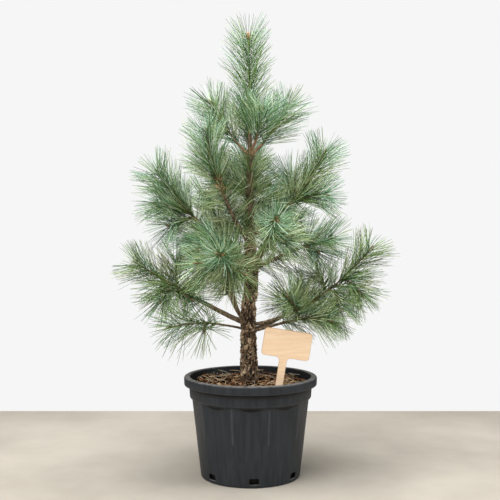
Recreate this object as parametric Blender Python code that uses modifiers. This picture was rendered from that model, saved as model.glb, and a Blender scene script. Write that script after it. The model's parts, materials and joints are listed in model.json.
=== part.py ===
# Potted pine: a young five-needled pine in a round nursery pot, in metres, +Z up.
# The origin is the middle of the pot's flat underside. -Y is the front, +X the right.
# Azimuths are in degrees from +X towards +Y, so 270 is the front.

import math
import random
from collections import namedtuple

import bmesh
import bpy
from mathutils import Matrix, Vector
from mathutils.bvhtree import BVHTree
from mathutils.kdtree import KDTree

OBJECT_NAME = "potted_pine"
GAP = 0.0003                    # between any two pieces that meet

# Pot
POT_HEIGHT = 0.257
RIM_RADIUS = 0.1714
LIP_DEPTH = 0.022
LIP_TOP = 0.016                 # width of the ring on top of the lip
LIP_ROUND = 0.0055              # of the lip's upper outer edge
LIP_TAPER = 0.0008              # the lip is this much slimmer at its lower edge
COLLAR_RADIUS = 0.1583
COLLAR_TAPER = 0.0021
COLLAR_FOOT = 0.2035            # height of the step under the collar
STEP_SLOPE = 0.003              # the step slopes this far above and below COLLAR_FOOT
BODY_RADIUS = 0.1515            # under the collar
FOOT_RADIUS = 0.1275            # at the foot, before its rounding
FOOT_ROUND = 0.004
FOOT_INSET = 0.0018             # of the flat underside
WALL = 0.003
COLLAR_THICKER = 0.003          # the collar's wall is this much over WALL
INNER_STEP = 0.006              # the step on the inside is this far above COLLAR_FOOT
POT_SEGMENTS = 50
FLUTES = 10                     # shallow hollows with a rib between each two
FLUTE_DEPTH = 0.0050
FLUTE_TOP = 0.1965
FLUTE_MIDDLE = 0.140
FLUTE_FOOT = 0.070              # the flutes fade out here
SLOTS = 7
SLOT_WIDTH = 0.024
SLOT_HEIGHT = 0.016
SLOT_ROUND = 0.003
SLOT_CUT = 0.03                 # length of the cutter through the wall
SLOT_MIDDLE = 0.0168
SLOT_TURN = 3.8                 # the front slot sits a little to the right of the front

# Growing medium
SOIL_RADIUS_GAP = 0.0014
SOIL_SEGMENTS = 24
SOIL_LEVEL = 0.242              # at the trunk
SOIL_EDGE = 0.238               # at the wall
MOUND_TOP = 0.050               # radius of the level top of the low mound round the trunk
MOUND_FOOT = 0.105              # radius where the mound ends
MOUND_FOOT_RISE = 0.001         # what is left of it there
SHOULDER_RISE = 0.004           # the plug's shoulders lie this far above the pot's

# Wooden tag
TAG_WIDTH = 0.119
TAG_HEIGHT = 0.0685
TAG_THICKNESS = 0.004
TAG_ROUND = 0.008
TAG_STEM_WIDTH = 0.019
TAG_STEM_LENGTH = 0.140
TAG_STEM_ROUND = 0.010
TAG_STEM_LEFT = 0.0035          # the stem stands this far to the left of the board's middle
TAG_POINT = 0.012               # height of the stem's pointed end
TAG_POINT_SHARE = 0.35          # of the stem's width, left at the point
TAG_MIDDLE = Vector((0.0899, -0.100, 0.351))
TAG_TILT = 9.0
TAG_TURN = 2.0
TAG_MARGIN = 0.006              # kept free of needles round it and in front of it

# Trunk: height, offset to the right, diameter
TrunkRing = namedtuple("TrunkRing", "height right diameter")
TRUNK_RINGS = (
    TrunkRing(SOIL_LEVEL + GAP, -0.003, 0.0475),
    TrunkRing(0.255, -0.003, 0.0465),
    TrunkRing(0.280, -0.004, 0.0455),
    TrunkRing(0.330, -0.005, 0.0420),
    TrunkRing(0.375, -0.006, 0.0430),
    TrunkRing(0.427, -0.005, 0.0370),
    TrunkRing(0.475, 0.000, 0.0375),
    TrunkRing(0.520, 0.003, 0.0370),
    TrunkRing(0.579, -0.001, 0.0315),
    TrunkRing(0.645, -0.002, 0.0270),
    TrunkRing(0.708, -0.002, 0.0230),
    TrunkRing(0.770, -0.001, 0.0180),
    TrunkRing(0.829, -0.001, 0.0148),
    TrunkRing(0.880, -0.0015, 0.0100),
)

# Boughs: where each leaves the trunk, how far it goes out and up, and how it bends.
# bend over 1 starts flat and turns up, swing is the turn of its azimuth on the way out.
Bough = namedtuple("Bough", "height azimuth reach rise bend swing base tip")
BOUGHS = {
    "left_low": Bough(0.372, 205, 0.116, 0.027, 0.7, 12, 0.0072, 0.0055),
    "left": Bough(0.390, 182, 0.178, 0.091, 1.15, -4, 0.0140, 0.0100),
    "front_left": Bough(0.376, 240, 0.170, 0.161, 1.05, 14, 0.0100, 0.0080),
    "front_right": Bough(0.366, 328, 0.128, 0.040, 0.9, 8, 0.0086, 0.0072),
    "right": Bough(0.388, 3, 0.159, 0.058, 1.7, -5, 0.0100, 0.0084),
    "back_right": Bough(0.372, 38, 0.165, 0.040, 1.3, 8, 0.0120, 0.0090),
    "back_left": Bough(0.386, 118, 0.175, 0.092, 1.1, -8, 0.0125, 0.0090),
    "mid_left": Bough(0.530, 165, 0.143, 0.128, 1.0, 6, 0.0140, 0.0095),
    "mid_front_left": Bough(0.524, 218, 0.085, 0.062, 1.1, 8, 0.0100, 0.0080),
    "mid_front": Bough(0.520, 292, 0.137, 0.089, 0.9, -6, 0.0130, 0.0095),
    "mid_right": Bough(0.530, 14, 0.127, 0.055, 1.0, 0, 0.0125, 0.0090),
    "mid_back_right": Bough(0.534, 66, 0.130, 0.095, 1.0, -6, 0.0130, 0.0090),
    "mid_back_left": Bough(0.527, 116, 0.132, 0.092, 1.1, 6, 0.0130, 0.0090),
    "upper_left": Bough(0.604, 208, 0.088, 0.122, 1.25, 12, 0.0120, 0.0095),
    "upper_right": Bough(0.612, 6, 0.089, 0.073, 1.0, 0, 0.0120, 0.0090),
    "upper_back": Bough(0.618, 94, 0.082, 0.085, 1.0, 0, 0.0120, 0.0090),
}

# Shoots: the first goes on from its bough's tip, the others leave it part of the way along.
# needles is the length of a shoot's needles as a share of NEEDLE_LENGTH.
Shoot = namedtuple("Shoot", "along azimuth rise length needles", defaults=(1.0,))
BOUGH_SHOOTS = {
    "left_low": (Shoot(0, 206, -3, 0.108), Shoot(0.12, 265, -20, 0.050, 0.95)),
    "left": (Shoot(0, 180, 31, 0.127), Shoot(0.06, 232, -30, 0.068), Shoot(0.03, 96, 62, 0.080),
             Shoot(0.04, 300, -18, 0.080), Shoot(0.16, 122, -8, 0.070)),
    "front_left": (Shoot(0, 257, 22, 0.102, 0.72), Shoot(0.08, 205, 8, 0.080),
                   Shoot(0.05, 322, -14, 0.048, 0.75)),
    "front_right": (Shoot(0, 336, 0, 0.088), Shoot(0.05, 250, 40, 0.095),
                    Shoot(0.30, 20, 2, 0.085)),
    "right": (Shoot(0, 0, 42, 0.205), Shoot(0.48, 322, -32, 0.072), Shoot(0.28, 290, -34, 0.080),
              Shoot(0.22, 112, 42, 0.075), Shoot(0.34, 40, -8, 0.085)),
    "back_right": (Shoot(0, 68, 34, 0.125), Shoot(0.15, 20, 4, 0.085), Shoot(0.15, 118, 10, 0.080)),
    "back_left": (Shoot(0, 118, 32, 0.130), Shoot(0.15, 165, 6, 0.090), Shoot(0.20, 75, 0, 0.080)),
    "mid_left": (Shoot(0, 192, 50, 0.158), Shoot(0.10, 200, 20, 0.100), Shoot(0.03, 216, -12, 0.082),
                 Shoot(0.20, 118, 30, 0.085)),
    "mid_front_left": (Shoot(0, 205, -4, 0.078, 0.85), Shoot(0.10, 150, 10, 0.070)),
    "mid_front": (Shoot(0, 280, 24, 0.120, 0.72), Shoot(0.08, 335, -12, 0.062, 0.80),
                  Shoot(0.10, 30, 6, 0.065, 0.85)),
    "mid_right": (Shoot(0, 340, 15, 0.090), Shoot(0.10, 312, -12, 0.060),
                  Shoot(0.10, 60, 30, 0.055)),
    "mid_back_right": (Shoot(0, 62, 48, 0.140), Shoot(0.15, 25, 8, 0.060),
                       Shoot(0.18, 105, 12, 0.080)),
    "mid_back_left": (Shoot(0, 124, 48, 0.155), Shoot(0.05, 180, -14, 0.110),
                      Shoot(0.18, 82, 14, 0.080)),
    "upper_left": (Shoot(0, 223, 70, 0.158), Shoot(0.16, 128, 44, 0.095)),
    "upper_right": (Shoot(0, 6, 55, 0.180), Shoot(0.16, 345, 10, 0.088), Shoot(0.14, 95, 58, 0.090)),
    "upper_back": (Shoot(0, 88, 60, 0.165), Shoot(0.16, 150, 22, 0.085), Shoot(0.16, 40, 24, 0.085)),
}

# Shoots that grow from the trunk itself; along is a height here.
TOP_WHORL = 0.823
TRUNK_SHOOTS = {
    "top_left": (Shoot(TOP_WHORL, 186, 53, 0.168),),
    "top_front": (Shoot(TOP_WHORL, 297, 57, 0.132),),
    "top_right": (Shoot(TOP_WHORL, 11, 53, 0.166),),
    "top_back": (Shoot(TOP_WHORL, 98, 54, 0.150),),
    "inner_left": (Shoot(0.735, 190, 34, 0.080),),
    "inner_right": (Shoot(0.700, 24, 8, 0.078),),
    "inner_back": (Shoot(0.735, 84, 42, 0.100),),
}
LEADER = Shoot(0, 180, 89, 0.228, 0.95)
STRAIGHT = 0.004                # a stem goes this far straight on from its bough or the trunk
SHOOT_BOW = 0.4                 # share of its length that a shoot keeps near its first heading
SIDE_LEAN = 0.4                 # how far a side shoot leaves along its stem, 1 is wholly
SAG = 14                        # degrees, how much flatter a shoot leaves the trunk than it ends
STEM_STEPS, LEADER_STEPS, SIDE_STEPS = 4, 5, 2

# Needle sprays
NEEDLE_LENGTH = 0.104
TIP_NEEDLE_SHARE = 0.70         # needles by the bud are shorter
NEEDLES_GROWN = 0.050           # full length from this far behind the bud
SPRAY_STEP = 0.0132             # between sprays along a shoot
FIRST_SPRAY = 0.010             # behind the bud
CLEAR_OF_BUD = 0.026            # sprays this near the bud may lean over the shoot's axis
SPRAY_NEEDLES = 6
SPRAY_SPREAD = 42.0             # half the angle of a spray
SPRAY_THICKNESS = 0.0040
SPRAY_ROOT = 0.0065             # from the shoot's middle to the spray's thick point
SPRAY_SUNK = 0.0015             # the spray's foot reaches this far past the shoot's middle
SPRAY_TWIST = 40                # degrees either way about its own middle line
ANGLE_VARIES = 5                # degrees either way
TIP_VARIES = 2.5
TIP_LIFT = 0.06                 # share of its length that a tip may leave the blade's plane
TIP_SHARES = (0.90, 1.04)       # how much the needles of a spray differ in length
OUTER_SHORTER = 0.10
VALLEY_SHARE = 0.42             # depth of the gaps between a spray's needles
TIP_ANGLE = 30.0                # of the sprays by the bud, to the shoot
OLD_ANGLE = 50.0                # of the sprays further back
OLD_FROM = 0.085
GOLDEN_ANGLE = 137.5
TRIES = [(share, shift) for share in (1.0, 0.85, 0.7, 0.55) for shift in (0, 50, -50, 100)]
BARE_STEM = 0.020               # foot of a stem that carries no sprays
BARE_TWIG = 0.022
SPACE_MARGIN = 0.0012
SPACE_STEP = 0.004              # between the places that stand for a shoot
LIMB_MARGIN = 0.0022
LIMB_PARTS = 8                  # places between two points of a limb
LIMB_NEAR = 0.035
SHOOT_DIAMETER = 0.0070
BUD_DIAMETER = 0.0044
TWIG_THICKER = 0.2              # a side shoot's foot over its bud
TIP_TAPER = 0.97                # a stem just past its bough's tip
TRUNK_ROUNDNESS, BOUGH_ROUNDNESS, SHOOT_ROUNDNESS = 4, 1, 0      # bevel resolutions


def direction(azimuth, rise):
    a, r = math.radians(azimuth), math.radians(rise)
    return Vector((math.cos(a) * math.cos(r), math.sin(a) * math.cos(r), math.sin(r)))


def smooth(value):
    value = min(1.0, max(0.0, value))
    return value * value * (3.0 - 2.0 * value)


def clear_scene():
    for thing in list(bpy.data.objects):
        bpy.data.objects.remove(thing, do_unlink=True)


def new_collection(name):
    collection = bpy.data.collections.new(name)
    bpy.context.scene.collection.children.link(collection)
    return collection


def new_material(name, colour, roughness, metallic=0.0):
    material = bpy.data.materials.new(name)
    material.use_nodes = True
    shader = material.node_tree.nodes["Principled BSDF"]
    shader.inputs["Base Color"].default_value = (*colour, 1.0)
    shader.inputs["Roughness"].default_value = roughness
    shader.inputs["Metallic"].default_value = metallic
    material.diffuse_color = (*colour, 1.0)
    return material


def add_mesh(name, mesh, collection, material=None):
    thing = bpy.data.objects.new(name, mesh)
    collection.objects.link(thing)
    if material:
        mesh.materials.clear()
        mesh.materials.append(material)
    return thing


def as_mesh(thing):
    # The object's evaluated shape as a plain mesh object, welded, in place of the object.
    name, collection = thing.name, thing.users_collection[0]
    matrix = thing.matrix_world.copy()
    graph = bpy.context.evaluated_depsgraph_get()
    mesh = bpy.data.meshes.new_from_object(thing.evaluated_get(graph))
    bpy.data.objects.remove(thing, do_unlink=True)
    work = bmesh.new()
    work.from_mesh(mesh)
    bmesh.ops.remove_doubles(work, verts=work.verts, dist=1e-6)
    work.to_mesh(mesh)
    work.free()
    solid = bpy.data.objects.new(name, mesh)
    collection.objects.link(solid)
    solid.matrix_world = matrix
    return solid


def boolean(thing, operation, other):
    # other is an object, or a collection whose objects all take part.
    step = thing.modifiers.new(operation.lower(), "BOOLEAN")
    step.operation = operation
    step.solver = "EXACT"
    if isinstance(other, bpy.types.Collection):
        step.operand_type = "COLLECTION"
        step.collection = other
    else:
        step.object = other
    return step


def as_cutter(thing):
    thing.hide_render = True
    thing.display_type = "WIRE"


def tube(name, points, radii, bevel_resolution, collection):
    curve = bpy.data.curves.new(name, "CURVE")
    curve.dimensions = "3D"
    curve.bevel_depth = 1.0
    curve.bevel_resolution = bevel_resolution
    curve.use_fill_caps = True
    spline = curve.splines.new("POLY")
    spline.points.add(len(points) - 1)
    for knot, place, radius in zip(spline.points, points, radii):
        knot.co = (*place, 1.0)
        knot.radius = radius
    thing = bpy.data.objects.new(name, curve)
    collection.objects.link(thing)
    bpy.context.view_layer.update()
    return as_mesh(thing)


def turned(name, profile, segments, collection):
    mesh = bpy.data.meshes.new(name)
    edges = [(i, i + 1) for i in range(len(profile) - 1)]
    mesh.from_pydata([(x, 0.0, z) for x, z in profile], edges, [])
    thing = bpy.data.objects.new(name, mesh)
    collection.objects.link(thing)
    screw = thing.modifiers.new("turn", "SCREW")
    screw.steps = segments
    screw.render_steps = segments
    screw.use_merge_vertices = True
    screw.merge_threshold = 1e-5
    bpy.context.view_layer.update()
    return as_mesh(thing)


def wall_radius(height):
    # Outer radius of the pot's body below the collar.
    share = height / COLLAR_FOOT
    return FOOT_RADIUS + (BODY_RADIUS - FOOT_RADIUS) * share


def flute(angle, height):
    # How far the wall is pressed in, hollow between ribs, by angle in degrees from the front.
    fade = smooth((height - FLUTE_FOOT) / (FLUTE_TOP - FLUTE_FOOT))
    across = abs((angle * FLUTES / 360 + 0.5) % 1 - 0.5) * 2
    return FLUTE_DEPTH * fade * (1 - across * across)


def make_pot(collection, tools, material):
    body = (FLUTE_TOP, FLUTE_MIDDLE, FLUTE_FOOT)
    lip_bottom = POT_HEIGHT - LIP_DEPTH
    outside = [(RIM_RADIUS - LIP_TOP, POT_HEIGHT)]
    outside += arc((RIM_RADIUS - LIP_ROUND, POT_HEIGHT - LIP_ROUND), LIP_ROUND, 90, 0, 2)
    outside += [
        (RIM_RADIUS - LIP_TAPER, lip_bottom),
        (COLLAR_RADIUS, lip_bottom),
        (COLLAR_RADIUS - COLLAR_TAPER, COLLAR_FOOT + STEP_SLOPE),
        (BODY_RADIUS, COLLAR_FOOT - STEP_SLOPE),
    ]
    outside += [(wall_radius(height), height) for height in body]
    outside += [
        (wall_radius(FOOT_ROUND), FOOT_ROUND),
        (FOOT_RADIUS - FOOT_INSET, 0.0),
        (0.0, 0.0),
    ]
    inside = [
        (0.0, WALL),
        (wall_radius(WALL) - WALL, WALL),
    ]
    inside += [(wall_radius(height) - WALL, height) for height in reversed(body)]
    inside += [(COLLAR_RADIUS - WALL - COLLAR_THICKER, COLLAR_FOOT + INNER_STEP)]
    pot = turned("pot", inside + outside, POT_SEGMENTS, collection)
    work = bmesh.new()
    work.from_mesh(pot.data)
    for vert in work.verts:
        height = vert.co.z
        if FLUTE_FOOT < height < FLUTE_TOP + GAP:
            angle = math.degrees(math.atan2(vert.co.x, -vert.co.y))
            reach = math.hypot(vert.co.x, vert.co.y)
            scale = (reach - flute(angle, height)) / reach
            vert.co.x *= scale
            vert.co.y *= scale
    bmesh.ops.dissolve_limit(work, angle_limit=math.radians(0.05), verts=work.verts, edges=work.edges)
    work.to_mesh(pot.data)
    work.free()
    cut_slots(pot, tools)
    pot.data.materials.append(material)
    pot.data.shade_smooth()
    pot.data.set_sharp_from_angle(angle=math.radians(35))
    return pot


def cut_slots(pot, tools):
    slots = new_collection("slots")
    for number in range(SLOTS):
        angle = math.radians(-90 + SLOT_TURN + 360 / SLOTS * number)
        work = bmesh.new()
        bmesh.ops.create_cube(work, size=1.0)
        bmesh.ops.scale(work, vec=(SLOT_CUT, SLOT_WIDTH, SLOT_HEIGHT), verts=work.verts)
        along = [e for e in work.edges if abs(e.verts[0].co.x - e.verts[1].co.x) > SLOT_CUT / 2]
        bmesh.ops.bevel(work, geom=along, offset=SLOT_ROUND, segments=2, affect="EDGES", profile=0.5)
        mesh = bpy.data.meshes.new(f"slot_{number}")
        work.to_mesh(mesh)
        work.free()
        cutter = add_mesh(mesh.name, mesh, slots)
        cutter.location = (math.cos(angle) * FOOT_RADIUS, math.sin(angle) * FOOT_RADIUS, SLOT_MIDDLE)
        cutter.rotation_euler = (0, 0, angle)
        as_cutter(cutter)
    boolean(pot, "DIFFERENCE", slots)


def tag_matrix():
    turn = Matrix.Rotation(math.radians(TAG_TURN), 4, "Z")
    tilt = Matrix.Rotation(math.radians(TAG_TILT), 4, "Y")
    return Matrix.Translation(TAG_MIDDLE) @ turn @ tilt


def arc(centre, radius, start, end, steps):
    points = []
    for step in range(steps + 1):
        angle = math.radians(start + (end - start) * step / steps)
        points.append((centre[0] + radius * math.cos(angle), centre[1] + radius * math.sin(angle)))
    return points


def make_tag(collection, material):
    # Flat outline in X and Z, with rounded corners and a fillet where the stem joins.
    half, high, stem = TAG_WIDTH / 2, TAG_HEIGHT / 2, TAG_STEM_WIDTH / 2
    r, f = TAG_ROUND, TAG_STEM_ROUND
    low = -high - TAG_STEM_LENGTH
    left, right, point = -stem - TAG_STEM_LEFT, stem - TAG_STEM_LEFT, stem * (1 - TAG_POINT_SHARE)
    outline = arc((half - r, high - r), r, 0, 90, 3) + arc((-half + r, high - r), r, 90, 180, 3)
    outline += arc((-half + r, -high + r), r, 180, 270, 3)
    outline += arc((left - f, -high - f), f, 90, 0, 3)
    outline += [(left, low + TAG_POINT), (left + point, low), (right - point, low), (right, low + TAG_POINT)]
    outline += arc((right + f, -high - f), f, 180, 90, 3) + arc((half - r, -high + r), r, 270, 360, 3)
    curve = bpy.data.curves.new("wooden_tag", "CURVE")
    curve.dimensions = "2D"
    curve.fill_mode = "BOTH"
    curve.extrude = TAG_THICKNESS / 2
    spline = curve.splines.new("POLY")
    spline.points.add(len(outline) - 1)
    for knot, place in zip(spline.points, outline):
        knot.co = (*place, 0.0, 1.0)
    spline.use_cyclic_u = True
    thing = bpy.data.objects.new("wooden_tag", curve)
    collection.objects.link(thing)
    thing.matrix_world = tag_matrix() @ Matrix.Rotation(math.radians(90), 4, "X")
    bpy.context.view_layer.update()
    tag = as_mesh(thing)
    tag.data.materials.clear()
    tag.data.materials.append(material)
    return tag


def make_soil(collection, tools, material):
    # A plug that fills the pot, with a low mound at the trunk and a slit for the tag's stem.
    gap = WALL + SOIL_RADIUS_GAP
    neck = COLLAR_RADIUS - COLLAR_THICKER - gap
    profile = [
        (0.0, SOIL_LEVEL),
        (MOUND_TOP, SOIL_LEVEL),
        (MOUND_FOOT, SOIL_EDGE + MOUND_FOOT_RISE),
        (neck, SOIL_EDGE),
        (neck, COLLAR_FOOT + INNER_STEP + SHOULDER_RISE),
        (wall_radius(FLUTE_TOP) - gap - FLUTE_DEPTH, FLUTE_TOP + SHOULDER_RISE),
        (FOOT_RADIUS - gap - FLUTE_DEPTH, WALL + GAP),
        (0.0, WALL + GAP),
    ]
    soil = turned("soil", profile, SOIL_SEGMENTS, collection)
    work = bmesh.new()
    work.from_mesh(soil.data)
    bmesh.ops.dissolve_limit(work, angle_limit=math.radians(0.05), verts=work.verts, edges=work.edges)
    work.to_mesh(soil.data)
    work.free()
    slit_size = (TAG_STEM_WIDTH + 2 * GAP, TAG_THICKNESS + 2 * GAP, TAG_STEM_LENGTH + GAP)
    cutter_work = bmesh.new()
    bmesh.ops.create_cube(cutter_work, size=1.0)
    bmesh.ops.scale(cutter_work, vec=slit_size, verts=cutter_work.verts)
    drop = Vector((-TAG_STEM_LEFT, 0, -TAG_HEIGHT / 2 - TAG_STEM_LENGTH / 2))
    bmesh.ops.translate(cutter_work, vec=drop, verts=cutter_work.verts)
    mesh = bpy.data.meshes.new("tag_slit")
    cutter_work.to_mesh(mesh)
    cutter_work.free()
    cutter = add_mesh("tag_slit", mesh, tools)
    cutter.matrix_world = tag_matrix()
    as_cutter(cutter)
    boolean(soil, "DIFFERENCE", cutter)
    soil.data.materials.append(material)
    return soil


def trunk_point(height):
    for low, high in zip(TRUNK_RINGS, TRUNK_RINGS[1:]):
        if height <= high.height:
            break
    share = (height - low.height) / (high.height - low.height)
    return Vector((low.right + (high.right - low.right) * share, 0.0, height))


def make_trunk(collection, material):
    points = [Vector((ring.right, 0.0, ring.height)) for ring in TRUNK_RINGS]
    radii = [ring.diameter / 2 for ring in TRUNK_RINGS]
    trunk = tube("trunk", points, radii, TRUNK_ROUNDNESS, collection)
    trunk.data.materials.append(material)
    trunk.data.shade_smooth()
    return trunk


def make_trunk_cutter(tools):
    # The trunk swollen by the gap, that limbs are cut with.
    points = [Vector((ring.right, 0.0, ring.height)) for ring in TRUNK_RINGS]
    radii = [ring.diameter / 2 + GAP for ring in TRUNK_RINGS]
    cutter = tube("trunk_space", points, radii, TRUNK_ROUNDNESS, tools)
    as_cutter(cutter)
    return cutter


def bough_points(bough, steps=5):
    start = trunk_point(bough.height)
    points = []
    for step in range(steps + 1):
        t = step / steps
        out = direction(bough.azimuth + bough.swing * t, 0) * bough.reach * t
        points.append(start + out + Vector((0, 0, bough.rise * t ** bough.bend)))
    return points


def bough_radii(bough, count):
    return [(bough.base + (bough.tip - bough.base) * i / (count - 1)) / 2 for i in range(count)]


def make_bough(name, bough, trunk_cutter, collection, material):
    points = bough_points(bough)
    radii = bough_radii(bough, len(points))
    limb = tube(f"bough_{name}", points, radii, BOUGH_ROUNDNESS, collection)
    boolean(limb, "DIFFERENCE", trunk_cutter)
    limb.data.materials.append(material)
    limb.data.shade_smooth()
    return limb


def shoot_points(start, heading, shoot, steps):
    # A bent path that leaves along heading and ends in the shoot's own direction.
    end = start + direction(shoot.azimuth, shoot.rise) * shoot.length
    middle = start + heading * shoot.length * SHOOT_BOW
    points = []
    for step in range(steps + 1):
        t = step / steps
        points.append(start * (1 - t) ** 2 + middle * 2 * t * (1 - t) + end * t * t)
    return points


def walk(points, distance):
    # The place and direction at a distance along a path.
    for here, there in zip(points, points[1:]):
        span = (there - here).length
        if distance <= span or there is points[-1]:
            way = (there - here).normalized()
            return here + way * min(distance, span), way
        distance -= span


def path_length(points):
    return sum((b - a).length for a, b in zip(points, points[1:]))


def shoots_of(name):
    if name == "leader":
        return (LEADER,)
    return BOUGH_SHOOTS.get(name) or TRUNK_SHOOTS[name]


def mass_paths(name):
    # Every shoot of a mass as a list of points; the first is the stem.
    shoots = shoots_of(name)
    if name in BOUGHS:
        limb = bough_points(BOUGHS[name])
        heading = (limb[-1] - limb[-2]).normalized()
        start = limb[-1] + heading * GAP
        stem = [start] + shoot_points(start + heading * STRAIGHT, heading, shoots[0], STEM_STEPS)
    elif name == "leader":
        top = TRUNK_RINGS[-1]
        start = Vector((top.right, 0.0, top.height + GAP))
        heading = (trunk_point(top.height) - trunk_point(TRUNK_RINGS[-2].height)).normalized()
        stem = [start] + shoot_points(start + heading * STRAIGHT, heading, LEADER, LEADER_STEPS)
    else:
        start = trunk_point(shoots[0].along)
        heading = direction(shoots[0].azimuth, shoots[0].rise - SAG)
        stem = shoot_points(start, heading, shoots[0], STEM_STEPS)
    paths = [stem]
    for shoot in shoots[1:]:
        foot, way = walk(stem, path_length(stem) * shoot.along)
        aim = direction(shoot.azimuth, shoot.rise)
        heading = (way * SIDE_LEAN + aim * (1 - SIDE_LEAN)).normalized()
        paths.append(shoot_points(foot, heading, shoot, SIDE_STEPS))
    return paths


def mass_names():
    return list(BOUGH_SHOOTS) + list(TRUNK_SHOOTS) + ["leader"]


def spots_along(points, step):
    total = path_length(points)
    count = max(2, int(total / step))
    return [walk(points, total * i / count)[0] for i in range(count + 1)]


def tree_of(spots):
    tree = KDTree(len(spots))
    for number, spot in enumerate(spots):
        tree.insert(spot, number)
    tree.balance()
    return tree


class Space:
    # Knows which mass and which shoot a point is nearest to, and how far every limb is.
    def __init__(self, paths):
        self.own, self.others, self.shoots = {}, {}, {}
        spots = {name: [s for path in group for s in spots_along(path, SPACE_STEP)]
                 for name, group in paths.items()}
        for name in paths:
            self.own[name] = tree_of(spots[name])
            rest = [s for other, group in spots.items() if other != name for s in group]
            self.others[name] = tree_of(rest)
            self.shoots[name] = [tree_of(spots_along(path, SPACE_STEP)) for path in paths[name]]
        limb_spots, self.radii = [], []
        for points, radii in limb_tubes():
            for i in range(len(points) - 1):
                for part in range(LIMB_PARTS):
                    t = part / LIMB_PARTS
                    limb_spots.append(points[i].lerp(points[i + 1], t))
                    self.radii.append(radii[i] + (radii[i + 1] - radii[i]) * t)
        self.limbs = tree_of(limb_spots)
        self.tag = tag_matrix().inverted()

    def suits(self, name, number, spray):
        # The spray keeps to its mass's space, and its tips to its own shoot's part of it.
        for tip in spray.tips:
            own = self.shoots[name][number].find(tip)[2]
            for other, tree in enumerate(self.shoots[name]):
                if other != number and tree.find(tip)[2] < own:
                    return False
        return all(self.allows(name, spot) for spot in spray.spots())

    def allows(self, name, spot):
        nearest = self.own[name].find(spot)[2]
        other = self.others[name].find(spot)[2]
        if nearest + SPACE_MARGIN > other:
            return False
        for _, number, distance in self.limbs.find_range(spot, LIMB_NEAR):
            if distance < self.radii[number] + LIMB_MARGIN:
                return False
        seen = self.tag @ spot
        half = TAG_WIDTH / 2 + TAG_MARGIN
        if abs(seen.x) < half and seen.y < TAG_MARGIN and seen.z < TAG_HEIGHT / 2 + TAG_MARGIN:
            return False
        return spot.z > POT_HEIGHT + LIMB_MARGIN


def limb_tubes():
    points = [Vector((ring.right, 0.0, ring.height)) for ring in TRUNK_RINGS]
    tubes = [(points, [ring.diameter / 2 for ring in TRUNK_RINGS])]
    for bough in BOUGHS.values():
        points = bough_points(bough)
        tubes.append((points, bough_radii(bough, len(points))))
    return tubes


class Spray:
    # A toothed blade: needles that fan out from one thick point by the shoot.
    def __init__(self, foot, way, side, length, spread, dice):
        self.foot, self.way = foot, way
        self.across = side
        self.normal = way.cross(side).normalized()
        self.hub = foot + way * SPRAY_ROOT
        self.tips, self.valleys = [], []
        for i in range(SPRAY_NEEDLES):
            share = 2 * i / (SPRAY_NEEDLES - 1) - 1
            jitter = dice.uniform(-TIP_VARIES, TIP_VARIES)
            reach = length * (1 - OUTER_SHORTER * share * share) * dice.uniform(*TIP_SHARES)
            lift = self.normal * dice.uniform(-TIP_LIFT, TIP_LIFT) * reach
            self.tips.append(self.aim(spread * share + jitter, reach) + lift)
        for i in range(SPRAY_NEEDLES - 1):
            share = (2 * i + 1) / (SPRAY_NEEDLES - 1) - 1
            self.valleys.append(self.aim(spread * share, length * VALLEY_SHARE))

    def aim(self, angle, reach):
        a = math.radians(angle)
        return self.hub + (self.way * math.cos(a) + self.across * math.sin(a)) * reach

    def spots(self):
        for tip in self.tips:
            for share in (0.2, 0.4, 0.6, 0.8, 1.0):
                yield self.hub.lerp(tip, share)

    def shape(self):
        # Corners and triangles: the outline, joined to a point in front and one behind.
        outline = [self.foot - self.way * SPRAY_SUNK, self.tips[0]]
        for valley, tip in zip(self.valleys, self.tips[1:]):
            outline += [valley, tip]
        count = len(outline)
        lift = self.normal * SPRAY_THICKNESS / 2
        corners = outline + [self.hub + lift, self.hub - lift]
        faces = []
        for here in range(count):
            there = (here + 1) % count
            faces += [(count, here, there), (count + 1, there, here)]
        return corners, faces

    def add_to(self, collection, name):
        mesh = bpy.data.meshes.new(name)
        corners, faces = self.shape()
        mesh.from_pydata(corners, [], faces)
        return add_mesh(name, mesh, collection)


def sprays_on(path, name, number, space, placed, dice):
    # Sprays in a golden-angle spiral round a shoot; placed holds the mass's sprays so far.
    bare = BARE_TWIG if number else BARE_STEM
    full_length = NEEDLE_LENGTH * shoots_of(name)[number].needles
    total = path_length(path)
    count = max(3, round((total - bare) / SPRAY_STEP))
    turn = dice.uniform(0, 360)
    for rank in range(count):
        back = FIRST_SPRAY + (total - bare - FIRST_SPRAY) * rank / (count - 1)
        foot, axis = walk(path, total - back)
        grown = smooth(back / NEEDLES_GROWN)
        length = full_length * (TIP_NEEDLE_SHARE + (1 - TIP_NEEDLE_SHARE) * grown)
        angle = TIP_ANGLE + (OLD_ANGLE - TIP_ANGLE) * smooth(back / OLD_FROM)
        angle += dice.uniform(-ANGLE_VARIES, ANGLE_VARIES)
        spread = SPRAY_SPREAD if back < CLEAR_OF_BUD else min(SPRAY_SPREAD, angle)
        turn += GOLDEN_ANGLE
        for share, shift in TRIES:
            out = Matrix.Rotation(math.radians(turn + shift), 3, axis) @ axis.orthogonal().normalized()
            a = math.radians(angle)
            way = (axis * math.cos(a) + out * math.sin(a)).normalized()
            side = way.cross(axis.cross(out)).normalized()
            lean = dice.uniform(-SPRAY_TWIST, SPRAY_TWIST)
            twist = Matrix.Rotation(math.radians(lean), 3, way)
            spray = Spray(foot, way, twist @ side, length * share, spread, dice)
            blade = BVHTree.FromPolygons(*spray.shape())
            crossed = any(blade.overlap(other) for other in placed)
            if not crossed and space.suits(name, number, spray):
                placed.append(blade)
                yield spray
                break


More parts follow.
